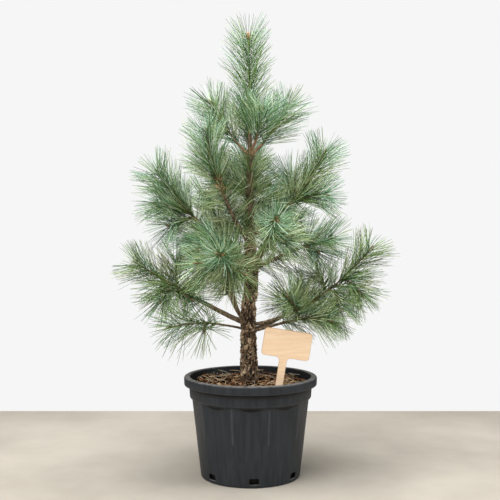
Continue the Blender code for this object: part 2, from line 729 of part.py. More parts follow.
def make_mass(name, paths, space, trunk_cutter, collection, material):
    dice = random.Random(name)
    stem_path = paths[0]
    radii = [(SHOOT_DIAMETER + (BUD_DIAMETER - SHOOT_DIAMETER) * i / (len(stem_path) - 1)) / 2
             for i in range(len(stem_path))]
    if name in BOUGHS:
        radii[0] = BOUGHS[name].tip / 2
        radii[1] = radii[0] * TIP_TAPER
        radii[2] = (radii[1] + radii[3]) / 2
    elif name == "leader":
        radii[0] = radii[1] = TRUNK_RINGS[-1].diameter / 2
    mass = tube(f"needles_{name}", stem_path, radii, SHOOT_ROUNDNESS, collection)
    loose = new_collection(f"loose_{name}")
    for number, path in enumerate(paths[1:]):
        last = len(path) - 1
        thin = [BUD_DIAMETER / 2 * (1 + TWIG_THICKER * (1 - i / last)) for i in range(last + 1)]
        tube(f"{name}_twig_{number}", path, thin, SHOOT_ROUNDNESS, loose)
    count, placed = 0, []
    for number, path in enumerate(paths):
        for spray in sprays_on(path, name, number, space, placed, dice):
            spray.add_to(loose, f"{name}_spray_{count}")
            count += 1
    if name in TRUNK_SHOOTS:
        boolean(mass, "DIFFERENCE", trunk_cutter)
    boolean(mass, "UNION", loose)
    bpy.context.view_layer.update()
    solid = as_mesh(mass)
    for thing in list(loose.objects):
        bpy.data.objects.remove(thing, do_unlink=True)
    bpy.data.collections.remove(loose)
    solid.data.materials.clear()
    solid.data.materials.append(material)
    return solid, count


def main():
    clear_scene()
    parts = new_collection(OBJECT_NAME)
    tools = new_collection("cutters")
    plastic = new_material("black_plastic", (0.030, 0.033, 0.037), 0.42)
    medium = new_material("bark_mulch", (0.110, 0.062, 0.034), 0.95)
    wood = new_material("birch_ply", (0.720, 0.520, 0.340), 0.60)
    bark = new_material("pine_bark", (0.150, 0.105, 0.075), 0.90)
    needles = new_material("pine_needles", (0.120, 0.230, 0.130), 0.55)
    make_pot(parts, tools, plastic)
    make_soil(parts, tools, medium)
    make_tag(parts, wood)
    make_trunk(parts, bark)
    trunk_cutter = make_trunk_cutter(tools)
    for name, bough in BOUGHS.items():
        make_bough(name, bough, trunk_cutter, parts, bark)
    paths = {name: mass_paths(name) for name in mass_names()}
    space = Space(paths)
    total = 0
    for name in paths:
        total += make_mass(name, paths[name], space, trunk_cutter, parts, needles)[1]
    print("sprays", total)


main()
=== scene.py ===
import json
import math
import random

import bmesh
import bpy
import numpy as np
from mathutils import Matrix, Vector, noise

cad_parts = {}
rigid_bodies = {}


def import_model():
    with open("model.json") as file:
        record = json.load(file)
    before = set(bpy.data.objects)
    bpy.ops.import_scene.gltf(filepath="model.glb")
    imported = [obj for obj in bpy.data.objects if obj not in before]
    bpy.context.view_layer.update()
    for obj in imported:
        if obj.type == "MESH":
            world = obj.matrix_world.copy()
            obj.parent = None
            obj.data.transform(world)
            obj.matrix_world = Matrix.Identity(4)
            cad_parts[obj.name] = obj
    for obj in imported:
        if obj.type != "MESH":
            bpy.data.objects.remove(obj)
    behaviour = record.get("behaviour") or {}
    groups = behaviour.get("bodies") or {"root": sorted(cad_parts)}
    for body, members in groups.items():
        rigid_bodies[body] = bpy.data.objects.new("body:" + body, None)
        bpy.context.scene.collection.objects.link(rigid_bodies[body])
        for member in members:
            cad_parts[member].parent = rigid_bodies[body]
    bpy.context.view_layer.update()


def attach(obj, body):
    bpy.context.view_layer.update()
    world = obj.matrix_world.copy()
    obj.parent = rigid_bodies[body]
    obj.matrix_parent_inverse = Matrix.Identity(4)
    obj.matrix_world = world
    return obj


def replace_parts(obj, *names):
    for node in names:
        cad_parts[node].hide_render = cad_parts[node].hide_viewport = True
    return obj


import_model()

# The plant grows from the same limbs and by the same rule as the solids, with finer twigs and
# thin needles in place of the toothed sprays. Metres, +Z up, azimuths in degrees from +X.

plant = {
    "trunkRings": (              # height, offset to the right, diameter
        (0.2423, -0.003, 0.0475), (0.255, -0.003, 0.0465), (0.280, -0.004, 0.0455),
        (0.330, -0.005, 0.0420), (0.375, -0.006, 0.0430), (0.427, -0.005, 0.0370),
        (0.475, 0.000, 0.0375), (0.520, 0.003, 0.0370), (0.579, -0.001, 0.0315),
        (0.645, -0.002, 0.0270), (0.708, -0.002, 0.0230), (0.770, -0.001, 0.0180),
        (0.829, -0.001, 0.0148), (0.880, -0.0015, 0.0100)),
    "boughs": {                  # height, azimuth, reach, rise, bend, swing, base, tip
        "left_low": (0.372, 205, 0.116, 0.027, 0.7, 12, 0.0072, 0.0055),
        "left": (0.390, 182, 0.178, 0.091, 1.15, -4, 0.0140, 0.0100),
        "front_left": (0.376, 240, 0.170, 0.161, 1.05, 14, 0.0100, 0.0080),
        "front_right": (0.366, 328, 0.128, 0.040, 0.9, 8, 0.0086, 0.0072),
        "right": (0.388, 3, 0.159, 0.058, 1.7, -5, 0.0100, 0.0084),
        "back_right": (0.372, 38, 0.165, 0.040, 1.3, 8, 0.0120, 0.0090),
        "back_left": (0.386, 118, 0.175, 0.092, 1.1, -8, 0.0125, 0.0090),
        "mid_left": (0.530, 165, 0.143, 0.128, 1.0, 6, 0.0140, 0.0095),
        "mid_front_left": (0.524, 218, 0.085, 0.062, 1.1, 8, 0.0100, 0.0080),
        "mid_front": (0.520, 292, 0.137, 0.089, 0.9, -6, 0.0130, 0.0095),
        "mid_right": (0.530, 14, 0.127, 0.055, 1.0, 0, 0.0125, 0.0090),
        "mid_back_right": (0.534, 66, 0.130, 0.095, 1.0, -6, 0.0130, 0.0090),
        "mid_back_left": (0.527, 116, 0.132, 0.092, 1.1, 6, 0.0130, 0.0090),
        "upper_left": (0.604, 208, 0.088, 0.122, 1.25, 12, 0.0120, 0.0095),
        "upper_right": (0.612, 6, 0.089, 0.073, 1.0, 0, 0.0120, 0.0090),
        "upper_back": (0.618, 94, 0.082, 0.085, 1.0, 0, 0.0120, 0.0090)},
    "shoots": {                  # place along the stem, azimuth, rise, length, share of needle length
        "left_low": ((0, 206, -3, 0.108), (0.12, 265, -20, 0.050, 0.95)),
        "left": ((0, 180, 31, 0.127), (0.06, 232, -30, 0.068), (0.03, 96, 62, 0.080),
                 (0.04, 300, -18, 0.080), (0.16, 122, -8, 0.070)),
        "front_left": ((0, 257, 22, 0.102, 0.72), (0.08, 205, 8, 0.080), (0.05, 322, -14, 0.048, 0.75)),
        "front_right": ((0, 336, 0, 0.088), (0.05, 250, 40, 0.095), (0.30, 20, 2, 0.085)),
        "right": ((0, 0, 42, 0.205), (0.48, 322, -32, 0.072), (0.28, 290, -34, 0.080),
                  (0.22, 112, 42, 0.075), (0.34, 40, -8, 0.085)),
        "back_right": ((0, 68, 34, 0.125), (0.15, 20, 4, 0.085), (0.15, 118, 10, 0.080)),
        "back_left": ((0, 118, 32, 0.130), (0.15, 165, 6, 0.090), (0.20, 75, 0, 0.080)),
        "mid_left": ((0, 192, 50, 0.158), (0.10, 200, 20, 0.100), (0.03, 216, -12, 0.082),
                     (0.20, 118, 30, 0.085)),
        "mid_front_left": ((0, 205, -4, 0.078, 0.85), (0.10, 150, 10, 0.070)),
        "mid_front": ((0, 280, 24, 0.120, 0.72), (0.08, 335, -12, 0.062, 0.80), (0.10, 30, 6, 0.065, 0.85)),
        "mid_right": ((0, 340, 15, 0.090), (0.10, 312, -12, 0.060), (0.10, 60, 30, 0.055)),
        "mid_back_right": ((0, 62, 48, 0.140), (0.15, 25, 8, 0.060), (0.18, 105, 12, 0.080)),
        "mid_back_left": ((0, 124, 48, 0.155), (0.05, 180, -14, 0.110), (0.18, 82, 14, 0.080)),
        "upper_left": ((0, 223, 70, 0.158), (0.16, 128, 44, 0.095)),
        "upper_right": ((0, 6, 55, 0.180), (0.16, 345, 10, 0.088), (0.14, 95, 58, 0.090)),
        "upper_back": ((0, 88, 60, 0.165), (0.16, 150, 22, 0.085), (0.16, 40, 24, 0.085)),
        "top_left": ((0.823, 186, 53, 0.168),),
        "top_front": ((0.823, 297, 57, 0.132),),
        "top_right": ((0.823, 11, 53, 0.166),),
        "top_back": ((0.823, 98, 54, 0.150),),
        "inner_left": ((0.735, 190, 34, 0.080),),
        "inner_right": ((0.700, 24, 8, 0.078),),
        "inner_back": ((0.735, 84, 42, 0.100),),
        "leader": ((0, 180, 89, 0.240),)},
    "clothedFrom": {             # share of a bough from which second-year needles still hang on
        "left_low": 0.85, "left": 0.62, "front_left": 0.62, "front_right": 0.72, "right": 0.50,
        "back_right": 0.85, "back_left": 0.75, "mid_left": 0.20, "mid_front_left": 0.40,
        "mid_front": 0.60, "mid_right": 0.12, "mid_back_right": 0.40, "mid_back_left": 0.40,
        "upper_left": 0.15, "upper_right": 0.25, "upper_back": 0.30},
    "trunkClothed": (0.600, 0.816),     # the same on the trunk, by height
    "secondYear": {              # share of a stem that is last year's wood
        "left": 0.45, "right": 0.40, "mid_left": 0.10, "mid_right": 0.10, "upper_left": 0.12,
        "upper_right": 0.10, "upper_back": 0.10, "mid_front": 0.08, "front_left": 0.08},
    "stepMm": {                  # between bundles, where it isn't the usual step
        "left_low": 3.6, "front_right": 2.9, "right": 2.5, "front_left": 2.6, "mid_front": 2.6,
        "leader": 2.2},
    "openBundles": {             # degrees, where they open more than usual
        "left_low": 13, "front_right": 9, "leader": 9, "front_left": 9, "mid_front": 9},
    "darkShades": {"left_low": 2, "left": 3, "right": 3, "leader": 3},      # only their darkest shades
    "lowWhorl": ("left_low", "left", "front_right", "right", "back_left", "back_right"),
    "stars": (("front_left", 0), ("mid_front", 0), ("left_low", 1)),     # shoots that face the front
    "shaded": (("front_left", 1), ("front_left", 2), ("mid_front", 1), ("mid_front", 2), ("left_low", 1)),
    "scaly": (                   # mass or trunk, from and to along it or by height, radius, scales
        ("upper_left", 0.0, 0.046, 0.0042, 90), ("front_left", 0.075, 0.100, 0.0022, 18),
        ("mid_front", 0.092, 0.118, 0.0022, 18), ("trunk", 0.520, 0.556, 0.0180, 90),
        ("trunk", 0.812, 0.836, 0.0072, 36)),
    "bareFootMm": {"top_left": 40, "top_front": 42, "top_right": 42, "top_back": 42, "front_left": 46},
    "gap": 0.0003,
}


def linear(hexColour):
    # An sRGB hex value as the linear numbers that Blender works with.
    parts = [int(hexColour[i:i + 2], 16) / 255 for i in (1, 3, 5)]
    return [p / 12.92 if p <= 0.04045 else ((p + 0.055) / 1.055) ** 2.4 for p in parts] + [1.0]


def newMaterial(name):
    material = bpy.data.materials.new(name)
    material.use_nodes = True
    return material, material.node_tree.nodes["Principled BSDF"]


def addNode(material, kind, settings=None, values=None, links=None):
    # settings are the node's own properties, values its sockets, links socket to (node, output).
    item = material.node_tree.nodes.new(kind)
    for key, value in (settings or {}).items():
        setattr(item, key, value)
    for key, value in (values or {}).items():
        item.inputs[key].default_value = value
    for key, (source, output) in (links or {}).items():
        material.node_tree.links.new(source.outputs[output], item.inputs[key])
    return item


def join(material, source, output, shader, socket):
    material.node_tree.links.new(source.outputs[output], shader.inputs[socket])


def setRamp(item, stops):
    ramp = item.color_ramp
    while len(ramp.elements) > 1:
        ramp.elements.remove(ramp.elements[-1])
    ramp.elements[0].position, ramp.elements[0].color = stops[0][0], linear(stops[0][1])
    for place, colour in stops[1:]:
        ramp.elements.new(place).color = linear(colour)


def addPiece(name, verts, quads, tris, materials, indices=None):
    # One object from arrays of corners, four-sided faces and three-sided faces.
    mesh = bpy.data.meshes.new(name)
    faceSizes = np.concatenate([np.full(len(quads), 4), np.full(len(tris), 3)]).astype(np.int32)
    loops = np.concatenate([np.asarray(quads).ravel(), np.asarray(tris).ravel()]).astype(np.int32)
    starts = np.concatenate([[0], np.cumsum(faceSizes)[:-1]]).astype(np.int32)
    mesh.vertices.add(len(verts))
    mesh.vertices.foreach_set("co", np.asarray(verts, dtype=np.float32).ravel())
    mesh.loops.add(len(loops))
    mesh.loops.foreach_set("vertex_index", loops)
    mesh.polygons.add(len(faceSizes))
    mesh.polygons.foreach_set("loop_start", starts)
    for material in materials:
        mesh.materials.append(material)
    if indices is not None:
        mesh.polygons.foreach_set("material_index", np.asarray(indices, dtype=np.int32))
    mesh.update(calc_edges=True)
    mesh.validate()
    mesh.shade_smooth()
    piece = bpy.data.objects.new(name, mesh)
    bpy.context.scene.collection.objects.link(piece)
    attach(piece, "root")
    return piece


def direction(azimuth, rise):
    a, r = math.radians(azimuth), math.radians(rise)
    return Vector((math.cos(a) * math.cos(r), math.sin(a) * math.cos(r), math.sin(r)))


def trunkPoint(height):
    rings = plant["trunkRings"]
    for low, high in zip(rings, rings[1:]):
        if height <= high[0]:
            break
    share = (height - low[0]) / (high[0] - low[0])
    return Vector((low[1] + (high[1] - low[1]) * share, 0.0, height))


def boughPoints(name, steps=5):
    height, azimuth, reach, rise, bend, swing = plant["boughs"][name][:6]
    start = trunkPoint(height)
    points = []
    for step in range(steps + 1):
        t = step / steps
        out = direction(azimuth + swing * t, 0) * reach * t
        points.append(start + out + Vector((0, 0, rise * t ** bend)))
    return points


def shootPoints(start, heading, azimuth, rise, length, steps):
    end = start + direction(azimuth, rise) * length
    middle = start + heading * length * 0.4
    points = []
    for step in range(steps + 1):
        t = step / steps
        points.append(start * (1 - t) ** 2 + middle * 2 * t * (1 - t) + end * t * t)
    return points


def pathLength(points):
    return sum((b - a).length for a, b in zip(points, points[1:]))


def walk(points, distance):
    for here, there in zip(points, points[1:]):
        span = (there - here).length
        if distance <= span or there is points[-1]:
            way = (there - here).normalized()
            return here + way * min(distance, span), way
        distance -= span


def massPaths(name):
    # The stem and side shoots of one mass, smooth, from the same values as the solids.
    shoots = plant["shoots"][name]
    along, azimuth, rise, length = shoots[0][:4]
    gap = plant["gap"]
    if name in plant["boughs"]:
        limb = boughPoints(name)
        heading = (limb[-1] - limb[-2]).normalized()
        start = limb[-1] + heading * gap
        stem = [start] + shootPoints(start + heading * 0.004, heading, azimuth, rise, length, 14)
    elif name == "leader":
        start = trunkPoint(plant["trunkRings"][-1][0]) + Vector((0, 0, gap))
        heading = Vector((0, 0, 1))
        stem = [start] + shootPoints(start + heading * 0.004, heading, azimuth, rise, length, 16)
    else:
        heading = direction(azimuth, rise - 14)
        stem = shootPoints(trunkPoint(along), heading, azimuth, rise, length, 14)
    paths = [stem]
    for along, azimuth, rise, length in (shoot[:4] for shoot in shoots[1:]):
        foot, way = walk(stem, pathLength(stem) * along)
        heading = (way * 0.4 + direction(azimuth, rise) * 0.6).normalized()
        paths.append(shootPoints(foot, heading, azimuth, rise, length, 9))
    return paths


def smoothPath(points, spacing):
    # A finer path through the points, by a Catmull-Rom curve.
    fine = []
    last = len(points) - 1
    for i in range(last):
        a, b = points[max(0, i - 1)], points[i]
        c, d = points[i + 1], points[min(last, i + 2)]
        steps = max(1, round((c - b).length / spacing))
        for step in range(steps):
            t = step / steps
            fine.append(0.5 * ((2 * b) + (c - a) * t + (2 * a - 5 * b + 4 * c - d) * t * t
                               + (3 * b - a - 3 * c + d) * t ** 3))
    fine.append(points[last])
    return fine


def tubeArrays(points, radii, sides, relief=None, first=0):
    # Corners and faces of a closed tube; relief(angle, distance, point) is added to its radius.
    verts, quads, tris = [], [], []
    up = Vector((0, 0, 1)) if abs((points[1] - points[0]).normalized().z) < 0.9 else Vector((0, 1, 0))
    distance = 0.0
    for i, point in enumerate(points):
        way = (points[min(i + 1, len(points) - 1)] - points[max(i - 1, 0)]).normalized()
        across = way.cross(up).normalized()
        over = across.cross(way)
        if i:
            distance += (point - points[i - 1]).length
        for side in range(sides):
            angle = 2 * math.pi * side / sides
            outward = across * math.cos(angle) + over * math.sin(angle)
            radius = radii[i]
            if relief:
                radius += relief(point + outward * radius, distance)
            verts.append(point + outward * radius)
    rings = len(points)
    for i in range(rings - 1):
        for side in range(sides):
            after = (side + 1) % sides
            a, b = first + i * sides, first + (i + 1) * sides
            quads.append((a + side, b + side, b + after, a + after))
    ends = ((0, points[0], 1), ((rings - 1) * sides, points[-1], 0))
    for start, centre, flip in ends:
        hub = first + len(verts)
        verts.append(centre)
        for side in range(sides):
            pair = (first + start + side, first + start + (side + 1) % sides)
            tris.append((hub, pair[1], pair[0]) if not flip else (hub, pair[0], pair[1]))
    return verts, quads, tris


# Pine bark: rough cork that has split into small flakes, grey-brown on their weathered faces, with dark fissures
# between them, their near-black partly painted shade, and paler cork where a flake has come off.
barkLook = {
    "dark": "#543D2A", "plate": "#AE8D6B", "light": "#EACFAB", "fissure": "#120B06",
    # young: browner bark laid on up in the crown, partly younger bark's tone and partly painted shade under the
    # foliage.
    "limbDark": "#66543F", "limb": "#8B745A", "limbLight": "#B29C7E", "young": "#574B38",
    "roughness": 0.9, "grainMm": 1.6,
}


def makeBark(name, colours, bumpMm):
    # The flake attribute tints each flake. Depth darkens the fissures, partly the bark's darker colour there and
    # partly painted shade, and on the trunk also its foot as painted shade. Youth turns the bark browner up in the
    # crown, partly younger bark's tone and partly painted shade under the foliage.
    material, shader = newMaterial(name)
    place = addNode(material, "ShaderNodeTexCoord")
    flake = addNode(material, "ShaderNodeAttribute", {"attribute_name": "flake"})
    grain = addNode(material, "ShaderNodeTexNoise",
                    values={"Scale": 1000 / barkLook["grainMm"], "Detail": 6.0, "Roughness": 0.7},
                    links={"Vector": (place, "Object")})
    mixed = addNode(material, "ShaderNodeMix", {"data_type": "FLOAT"}, values={"Factor": 0.45},
                    links={"A": (flake, "Fac"), "B": (grain, "Fac")})
    tint = addNode(material, "ShaderNodeValToRGB", links={"Fac": (mixed, "Result")})
    setRamp(tint, ((0.25, colours[0]), (0.50, colours[1]), (0.78, colours[2])))
    ageAndCrownShade = addNode(material, "ShaderNodeAttribute", {"attribute_name": "ageAndCrownShade"})
    youngAndCrownShaded = addNode(material, "ShaderNodeMix", {"data_type": "RGBA"}, values={"B": linear(barkLook["young"])},
                    links={"Factor": (ageAndCrownShade, "Fac"), "A": (tint, "Color")})
    depth = addNode(material, "ShaderNodeAttribute", {"attribute_name": "depth"})
    # Near-black in the fissures: partly bark colour, partly painted shade.
    dark = addNode(material, "ShaderNodeMix", {"data_type": "RGBA"}, values={"B": linear(barkLook["fissure"])},
                   links={"Factor": (depth, "Fac"), "A": (youngAndCrownShaded, "Result")})
    join(material, dark, "Result", shader, "Base Color")
    bump = addNode(material, "ShaderNodeBump", values={"Strength": 0.9, "Distance": bumpMm / 1000},
                   links={"Height": (grain, "Fac")})
    join(material, bump, "Normal", shader, "Normal")
    shader.inputs["Roughness"].default_value = barkLook["roughness"]
    return material


def setValues(piece, name, values):
    layer = piece.data.attributes.new(name, "FLOAT", "POINT")
    layer.data.foreach_set("value", np.asarray(values, dtype=np.float32))


trunkSize = {
    "sides": 120, "stepMm": 1.7, "flakeMm": 9.0, "flakeTall": 1.5, "fissureMm": 4.0, "liftMm": 6.0,
    "smoothFrom": 0.50, "smoothTo": 0.75, "smoothShare": 0.25,      # young bark is smoother, by height
}
limbSize = {"sides": 24, "stepMm": 2.2, "flakeMm": 5.0, "flakeTall": 1.7, "fissureMm": 0.7, "liftMm": 0.6}


def flakeAt(place, width, tall):
    # How deep in a fissure a point is, 0 to 1, and the height of its flake of bark, 0 to 1.
    spot = Vector((place.x / width, place.y / width, place.z / (width * tall)))
    spot += noise.noise_vector(spot * 0.9) * 0.8 + noise.noise_vector(spot * 2.6) * 0.40
    near, cells = noise.voronoi(spot)
    gape = min(1.0, max(0.45, 0.85 + 1.0 * noise.noise(spot * 1.3)))        # some fissures close up
    fissure = min(1.0, max(0.0, 1.45 - (near[1] - near[0]) / 0.22)) * gape
    height = noise.cell(cells[0] * 7.3) * 0.5 + 0.5
    return fissure, min(1.0, max(0.0, height))


def barkRelief(size, ageAt, fissures, flakes):
    # A relief for tubeArrays that also keeps each corner's fissure and flake values.
    def relief(place, distance):
        age = ageAt(place)
        fissure, height = flakeAt(place, size["flakeMm"] / 1000, size["flakeTall"])
        small, _ = flakeAt(place * 2.3, size["flakeMm"] / 1000, size["flakeTall"])
        lump = noise.noise(place * 60) + 0.5 * noise.noise(place * 150)
        lift = size["liftMm"] / 1000 * (0.5 * height + 0.65 * lump - 0.18)
        cut = size["fissureMm"] / 1000 * (0.8 * fissure + 0.4 * small * small)
        fissures.append(min(1.0, fissure + 0.35 * small) * (0.4 + 0.6 * age))
        flakes.append(height)
        return (lift - cut) * age
    return relief


def makeTrunk(bark):
    size = trunkSize
    rings = plant["trunkRings"]
    knots = [Vector((ring[1], 0.0, ring[0])) for ring in rings]
    points = smoothPath(knots, size["stepMm"] / 1000)
    heights = [ring[0] for ring in rings]
    radii = [float(np.interp(p.z, heights, [ring[2] / 2 for ring in rings])) for p in points]
    young = (size["smoothFrom"], 1.0), (size["smoothTo"], size["smoothShare"])
    fissures, flakes = [], []
    relief = barkRelief(size, lambda place: between(young, place.z), fissures, flakes)
    verts, quads, tris = tubeArrays(points, radii, size["sides"], relief)
    piece = addPiece("trunk_bark", verts, quads, tris, [bark])
    # Painted shade: the trunk's foot is darkened where it meets the soil.
    footShade = ((rings[0][0] + 0.004, 0.75), (rings[0][0] + 0.03, 0.0))
    depths = [max(depth, between(footShade, vert[2])) for depth, vert in zip(fissures + [0.5, 0.5], verts)]
    setValues(piece, "depth", depths)
    setValues(piece, "flake", flakes + [0.5, 0.5])
    # Up in the crown the bark goes browner: younger bark's tone and painted shade under the foliage.
    setValues(piece, "ageAndCrownShade", [between(((0.44, 0.0), (0.53, 0.6), (0.80, 0.8)), vert[2]) for vert in verts])
    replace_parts(piece, "trunk")


def makeBough(name, bark):
    size = limbSize
    base, tip = plant["boughs"][name][6:]
    points = smoothPath(boughPoints(name), size["stepMm"] / 1000)
    last = len(points) - 1
    collar = ((0.0, 1.30), (0.07, 1.10), (0.20, 1.0))       # swollen where it leaves the trunk
    radii = [(base + (tip - base) * i / last) / 2 * between(collar, i / last) for i in range(last + 1)]
    fissures, flakes = [], []
    verts, quads, tris = tubeArrays(points, radii, size["sides"],
                                    barkRelief(size, lambda place: 1.0, fissures, flakes))
    piece = addPiece(f"limb_{name}", verts, quads, tris, [bark])
    setValues(piece, "depth", [value * 0.7 for value in fissures] + [0.5, 0.5])
    setValues(piece, "flake", flakes + [0.5, 0.5])
    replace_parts(piece, f"bough_{name}")


# Living pine needle: a waxy skin, plain green on the outer face and paler on the two inner faces, whose rows of
# white pores give the sprays their sparkle. The darker base is partly a fresh dark green and partly painted shade
# where the needles crowd at the stem.
needleLook = {
    "mint": (("#23432B", "#4A7351"), ("#446A49", "#79A47F"), ("#67906B", "#A2C6A5"), ("#8AAA8A", "#C0D6C0")),
    "leaf": (("#2A4318", "#55763B"), ("#4F6C30", "#86A565"), ("#6F8D4C", "#ABC38B"), ("#92AA73", "#C8D8B2")),
    "old": (("#313A1D", "#5A663C"), ("#5C683C", "#8F9B6B"), ("#8A945E", "#C2C99F")),
    # base: the first segment of each needle, partly fresh dark green and partly painted shade where the needles
    # crowd at the stem.
    "base": ("#2E4A1A", "#406028"), "roughness": 0.40,
}
needleSize = {
    "length": 0.098, "widthMm": 1.15, "bundleStepMm": 2.0, "perBundle": 5, "splay": 7.0, "angleVaries": 7,
    "angles": ((0.0, 36), (0.006, 48), (0.030, 48), (0.080, 40)),         # distance behind the bud, degrees
    "starAngles": ((0.0, 32), (0.004, 52), (0.030, 60), (0.080, 50)),
    "lengths": ((0.0, 0.68), (0.012, 0.84), (0.045, 0.98)),               # distance behind the bud, share
    "mintShare": ((0.0, 0.80), (0.08, 0.35)),                             # distance behind the bud, share
    "leaderAngles": ((0.0, 24), (0.015, 38), (0.030, 46), (0.200, 46)),
    "leaderShare": 0.98, "leaderAngleVaries": 4, "leaderFirst": 0.009, "leaderLengths": ((0.0, 0.80), (0.012, 0.90), (0.045, 0.98)),
    "bareMm": 10, "firstBundle": 0.003, "goldenAngle": 137.5, "lowMint": 0.45, "starMint": 1.7,
    "mixedShades": 0.5, "agedFrom": 0.10, "lowAgedFrom": 0.02, "agedShare": 0.4,
    "oldStepMm": 2.6, "oldAngle": 58, "oldLength": 0.088, "oldDroop": -0.15, "oldWidth": 0.95, "oldGreen": 0.5,
    "trunkShare": 0.6,
    "outline": ((0.0, 0.70), (0.24, 0.95), (0.62, 1.0), (0.93, 0.76)),    # share of length, of width
}


def needleKinds():
    # Each needle's shade as the numbers of its outer, inner and base materials.
    shades, colours = {}, []
    for age in ("mint", "leaf", "old"):
        shades[age] = []
        for number, (outer, inner) in enumerate(needleLook[age]):
            shades[age].append(len(colours))
            colours += [(f"{age}Outer_{number}", outer), (f"{age}Inner_{number}", inner)]
    base = len(colours)
    colours += [(f"base_{number}", colour) for number, colour in enumerate(needleLook["base"])]
    return shades, base, colours


needleShades, needleShadedBase, needleColours = needleKinds()


def makeNeedleMaterials():
    kinds = []
    for name, colour in needleColours:
        material, shader = newMaterial(f"waxyPineNeedle_{name}")
        shader.inputs["Base Color"].default_value = linear(colour)
        shader.inputs["Roughness"].default_value = needleLook["roughness"]
        shader.inputs["IOR"].default_value = 1.45
        kinds.append(material)
    return kinds


def between(stops, place):
    # The value at a place on a line through (place, value) stops.
    return float(np.interp(place, [stop[0] for stop in stops], [stop[1] for stop in stops]))


def addBundle(store, dice, foot, axis, out, angle, length, droop, age, opens, darkest=None):
    # Five needles that spring from one short sheath and open a little.
    size = needleSize
    way = axis * math.cos(angle) + out * math.sin(angle)
    side = way.cross(axis).normalized()
    over = side.cross(way)
    spin = dice.uniform(0, 360)
    shades = needleShades[age][:darkest]
    shade = dice.choice(shades)
    for blade in range(size["perBundle"]):
        around = math.radians(spin + 360 / size["perBundle"] * blade + dice.uniform(-18, 18))
        outward = side * math.cos(around) + over * math.sin(around)
        splay = math.tan(math.radians(opens * dice.uniform(0.35, 1.5)))
        one = (way + outward * splay).normalized()
        bend = axis * 0.06 - out * 0.02 + outward * dice.uniform(-0.05, 0.06) + Vector((0, 0, droop))
        store.append((foot + out * 0.001 + outward * 0.0006, one, outward, bend,
                      length * dice.uniform(0.88, 1.04),
                      dice.choice(shades) if dice.random() < size["mixedShades"] else shade,
                      size["oldWidth"] if age == "old" else 1.0))


def turned(axis, degrees):
    return Matrix.Rotation(math.radians(degrees), 3, axis) @ axis.orthogonal().normalized()


def newNeedles(name, number, path, bare, share, dice, store):
    # This year's needles, from the bud back to the bare foot of the shoot.
    size = needleSize
    total = pathLength(path)
    step = plant["stepMm"].get(name, size["bundleStepMm"]) / 1000
    low, star = name in plant["lowWhorl"], (name, number) in plant["stars"]
    shaded = (name, number) in plant["shaded"]
    mintShare = size["lowMint"] if low or shaded else size["starMint"] if star else 1.0
    agedFrom = size["lowAgedFrom"] if low or shaded else size["agedFrom"]
    opens = plant["openBundles"].get(name, size["splay"])
    angles = size["leaderAngles" if name == "leader" else "starAngles" if star else "angles"]
    lengths = size["leaderLengths" if name == "leader" else "lengths"]
    varies = size["leaderAngleVaries" if name == "leader" else "angleVaries"]
    turn = dice.uniform(0, 360)
    for rank in range(int((total - bare) / step)):
        back = size["leaderFirst" if name == "leader" else "firstBundle"] + step * rank
        foot, axis = walk(path, total - back)
        turn += size["goldenAngle"] + dice.uniform(-14, 14)
        angle = math.radians(between(angles, back) + dice.gauss(0, varies))
        length = size["length"] * share * between(lengths, back) * dice.uniform(0.82, 1.06)
        aged = back > agedFrom and name != "leader" and dice.random() < size["agedShare"]
        green = "mint" if dice.random() < between(size["mintShare"], back) * mintShare else "leaf"
        addBundle(store, dice, foot, axis, turned(axis, turn), angle, length,
                  -0.05 if aged else -0.02, "old" if aged else green, opens,
                  plant["darkShades"].get(name))


def oldNeedles(path, start, end, dice, store):
    # Last year's needles on the wood between two distances: wider, sparser and drooping.
    size = needleSize
    step = size["oldStepMm"] / 1000
    turn = dice.uniform(0, 360)
    for number in range(int((end - start) / step)):
        foot, axis = walk(path, start + step * number)
        turn += size["goldenAngle"] + dice.uniform(-20, 20)
        angle = math.radians(size["oldAngle"] + dice.gauss(0, 12))
        length = size["oldLength"] * dice.uniform(0.70, 1.06)
        addBundle(store, dice, foot, axis, turned(axis, turn), angle, length,
                  size["oldDroop"] * dice.uniform(0.4, 1.4),
                  "leaf" if dice.random() < size["oldGreen"] else "old", size["splay"])


def needleArrays(rows):
    # Three-sided needles, nearly even in width to a short point, flat-faced as the real ones are.
    root, way, outward, bend = (np.array([row[k] for row in rows]) for k in range(4))
    length = np.array([row[4] for row in rows])[:, None]
    kind = np.array([row[5] for row in rows])
    count = len(rows)
    side = np.cross(way, outward)
    side /= np.linalg.norm(side, axis=1)[:, None]
    outward = np.cross(side, way)
    rings = needleSize["outline"]
    corners = np.empty((count, len(rings) * 3 + 1, 3))
    half = np.array([row[6] for row in rows])[:, None] * needleSize["widthMm"] / 2000
    spokes = (side * 0.87 + outward * 0.5, -side * 0.87 + outward * 0.5, -outward)
    for r, (along, wide) in enumerate(rings):
        centre = root + (way * along + bend * along * along) * length
        for k in range(3):
            corners[:, r * 3 + k] = centre + spokes[k] * half * wide
    corners[:, -1] = root + (way + bend) * length
    base = (np.arange(count) * (len(rings) * 3 + 1))[:, None]
    quads, tris, quadKinds, triKinds = [], [], [], []
    for k in range(3):
        after = (k + 1) % 3
        shade = kind if k == 0 else kind + 1
        for r in range(len(rings) - 1):
            quads.append(base + np.array([r * 3 + k, r * 3 + after, r * 3 + 3 + after, r * 3 + 3 + k]))
            # The first segment takes a base material: painted shade near the stem over a fresh green.
            quadKinds.append(shade if r else np.full(count, needleShadedBase + (k > 0)))
        last = (len(rings) - 1) * 3
        tris.append(base + np.array([last + k, last + after, len(rings) * 3]))
        triKinds.append(shade)
    return (corners.reshape(-1, 3), np.concatenate(quads), np.concatenate(tris),
            np.concatenate(quadKinds + triKinds))


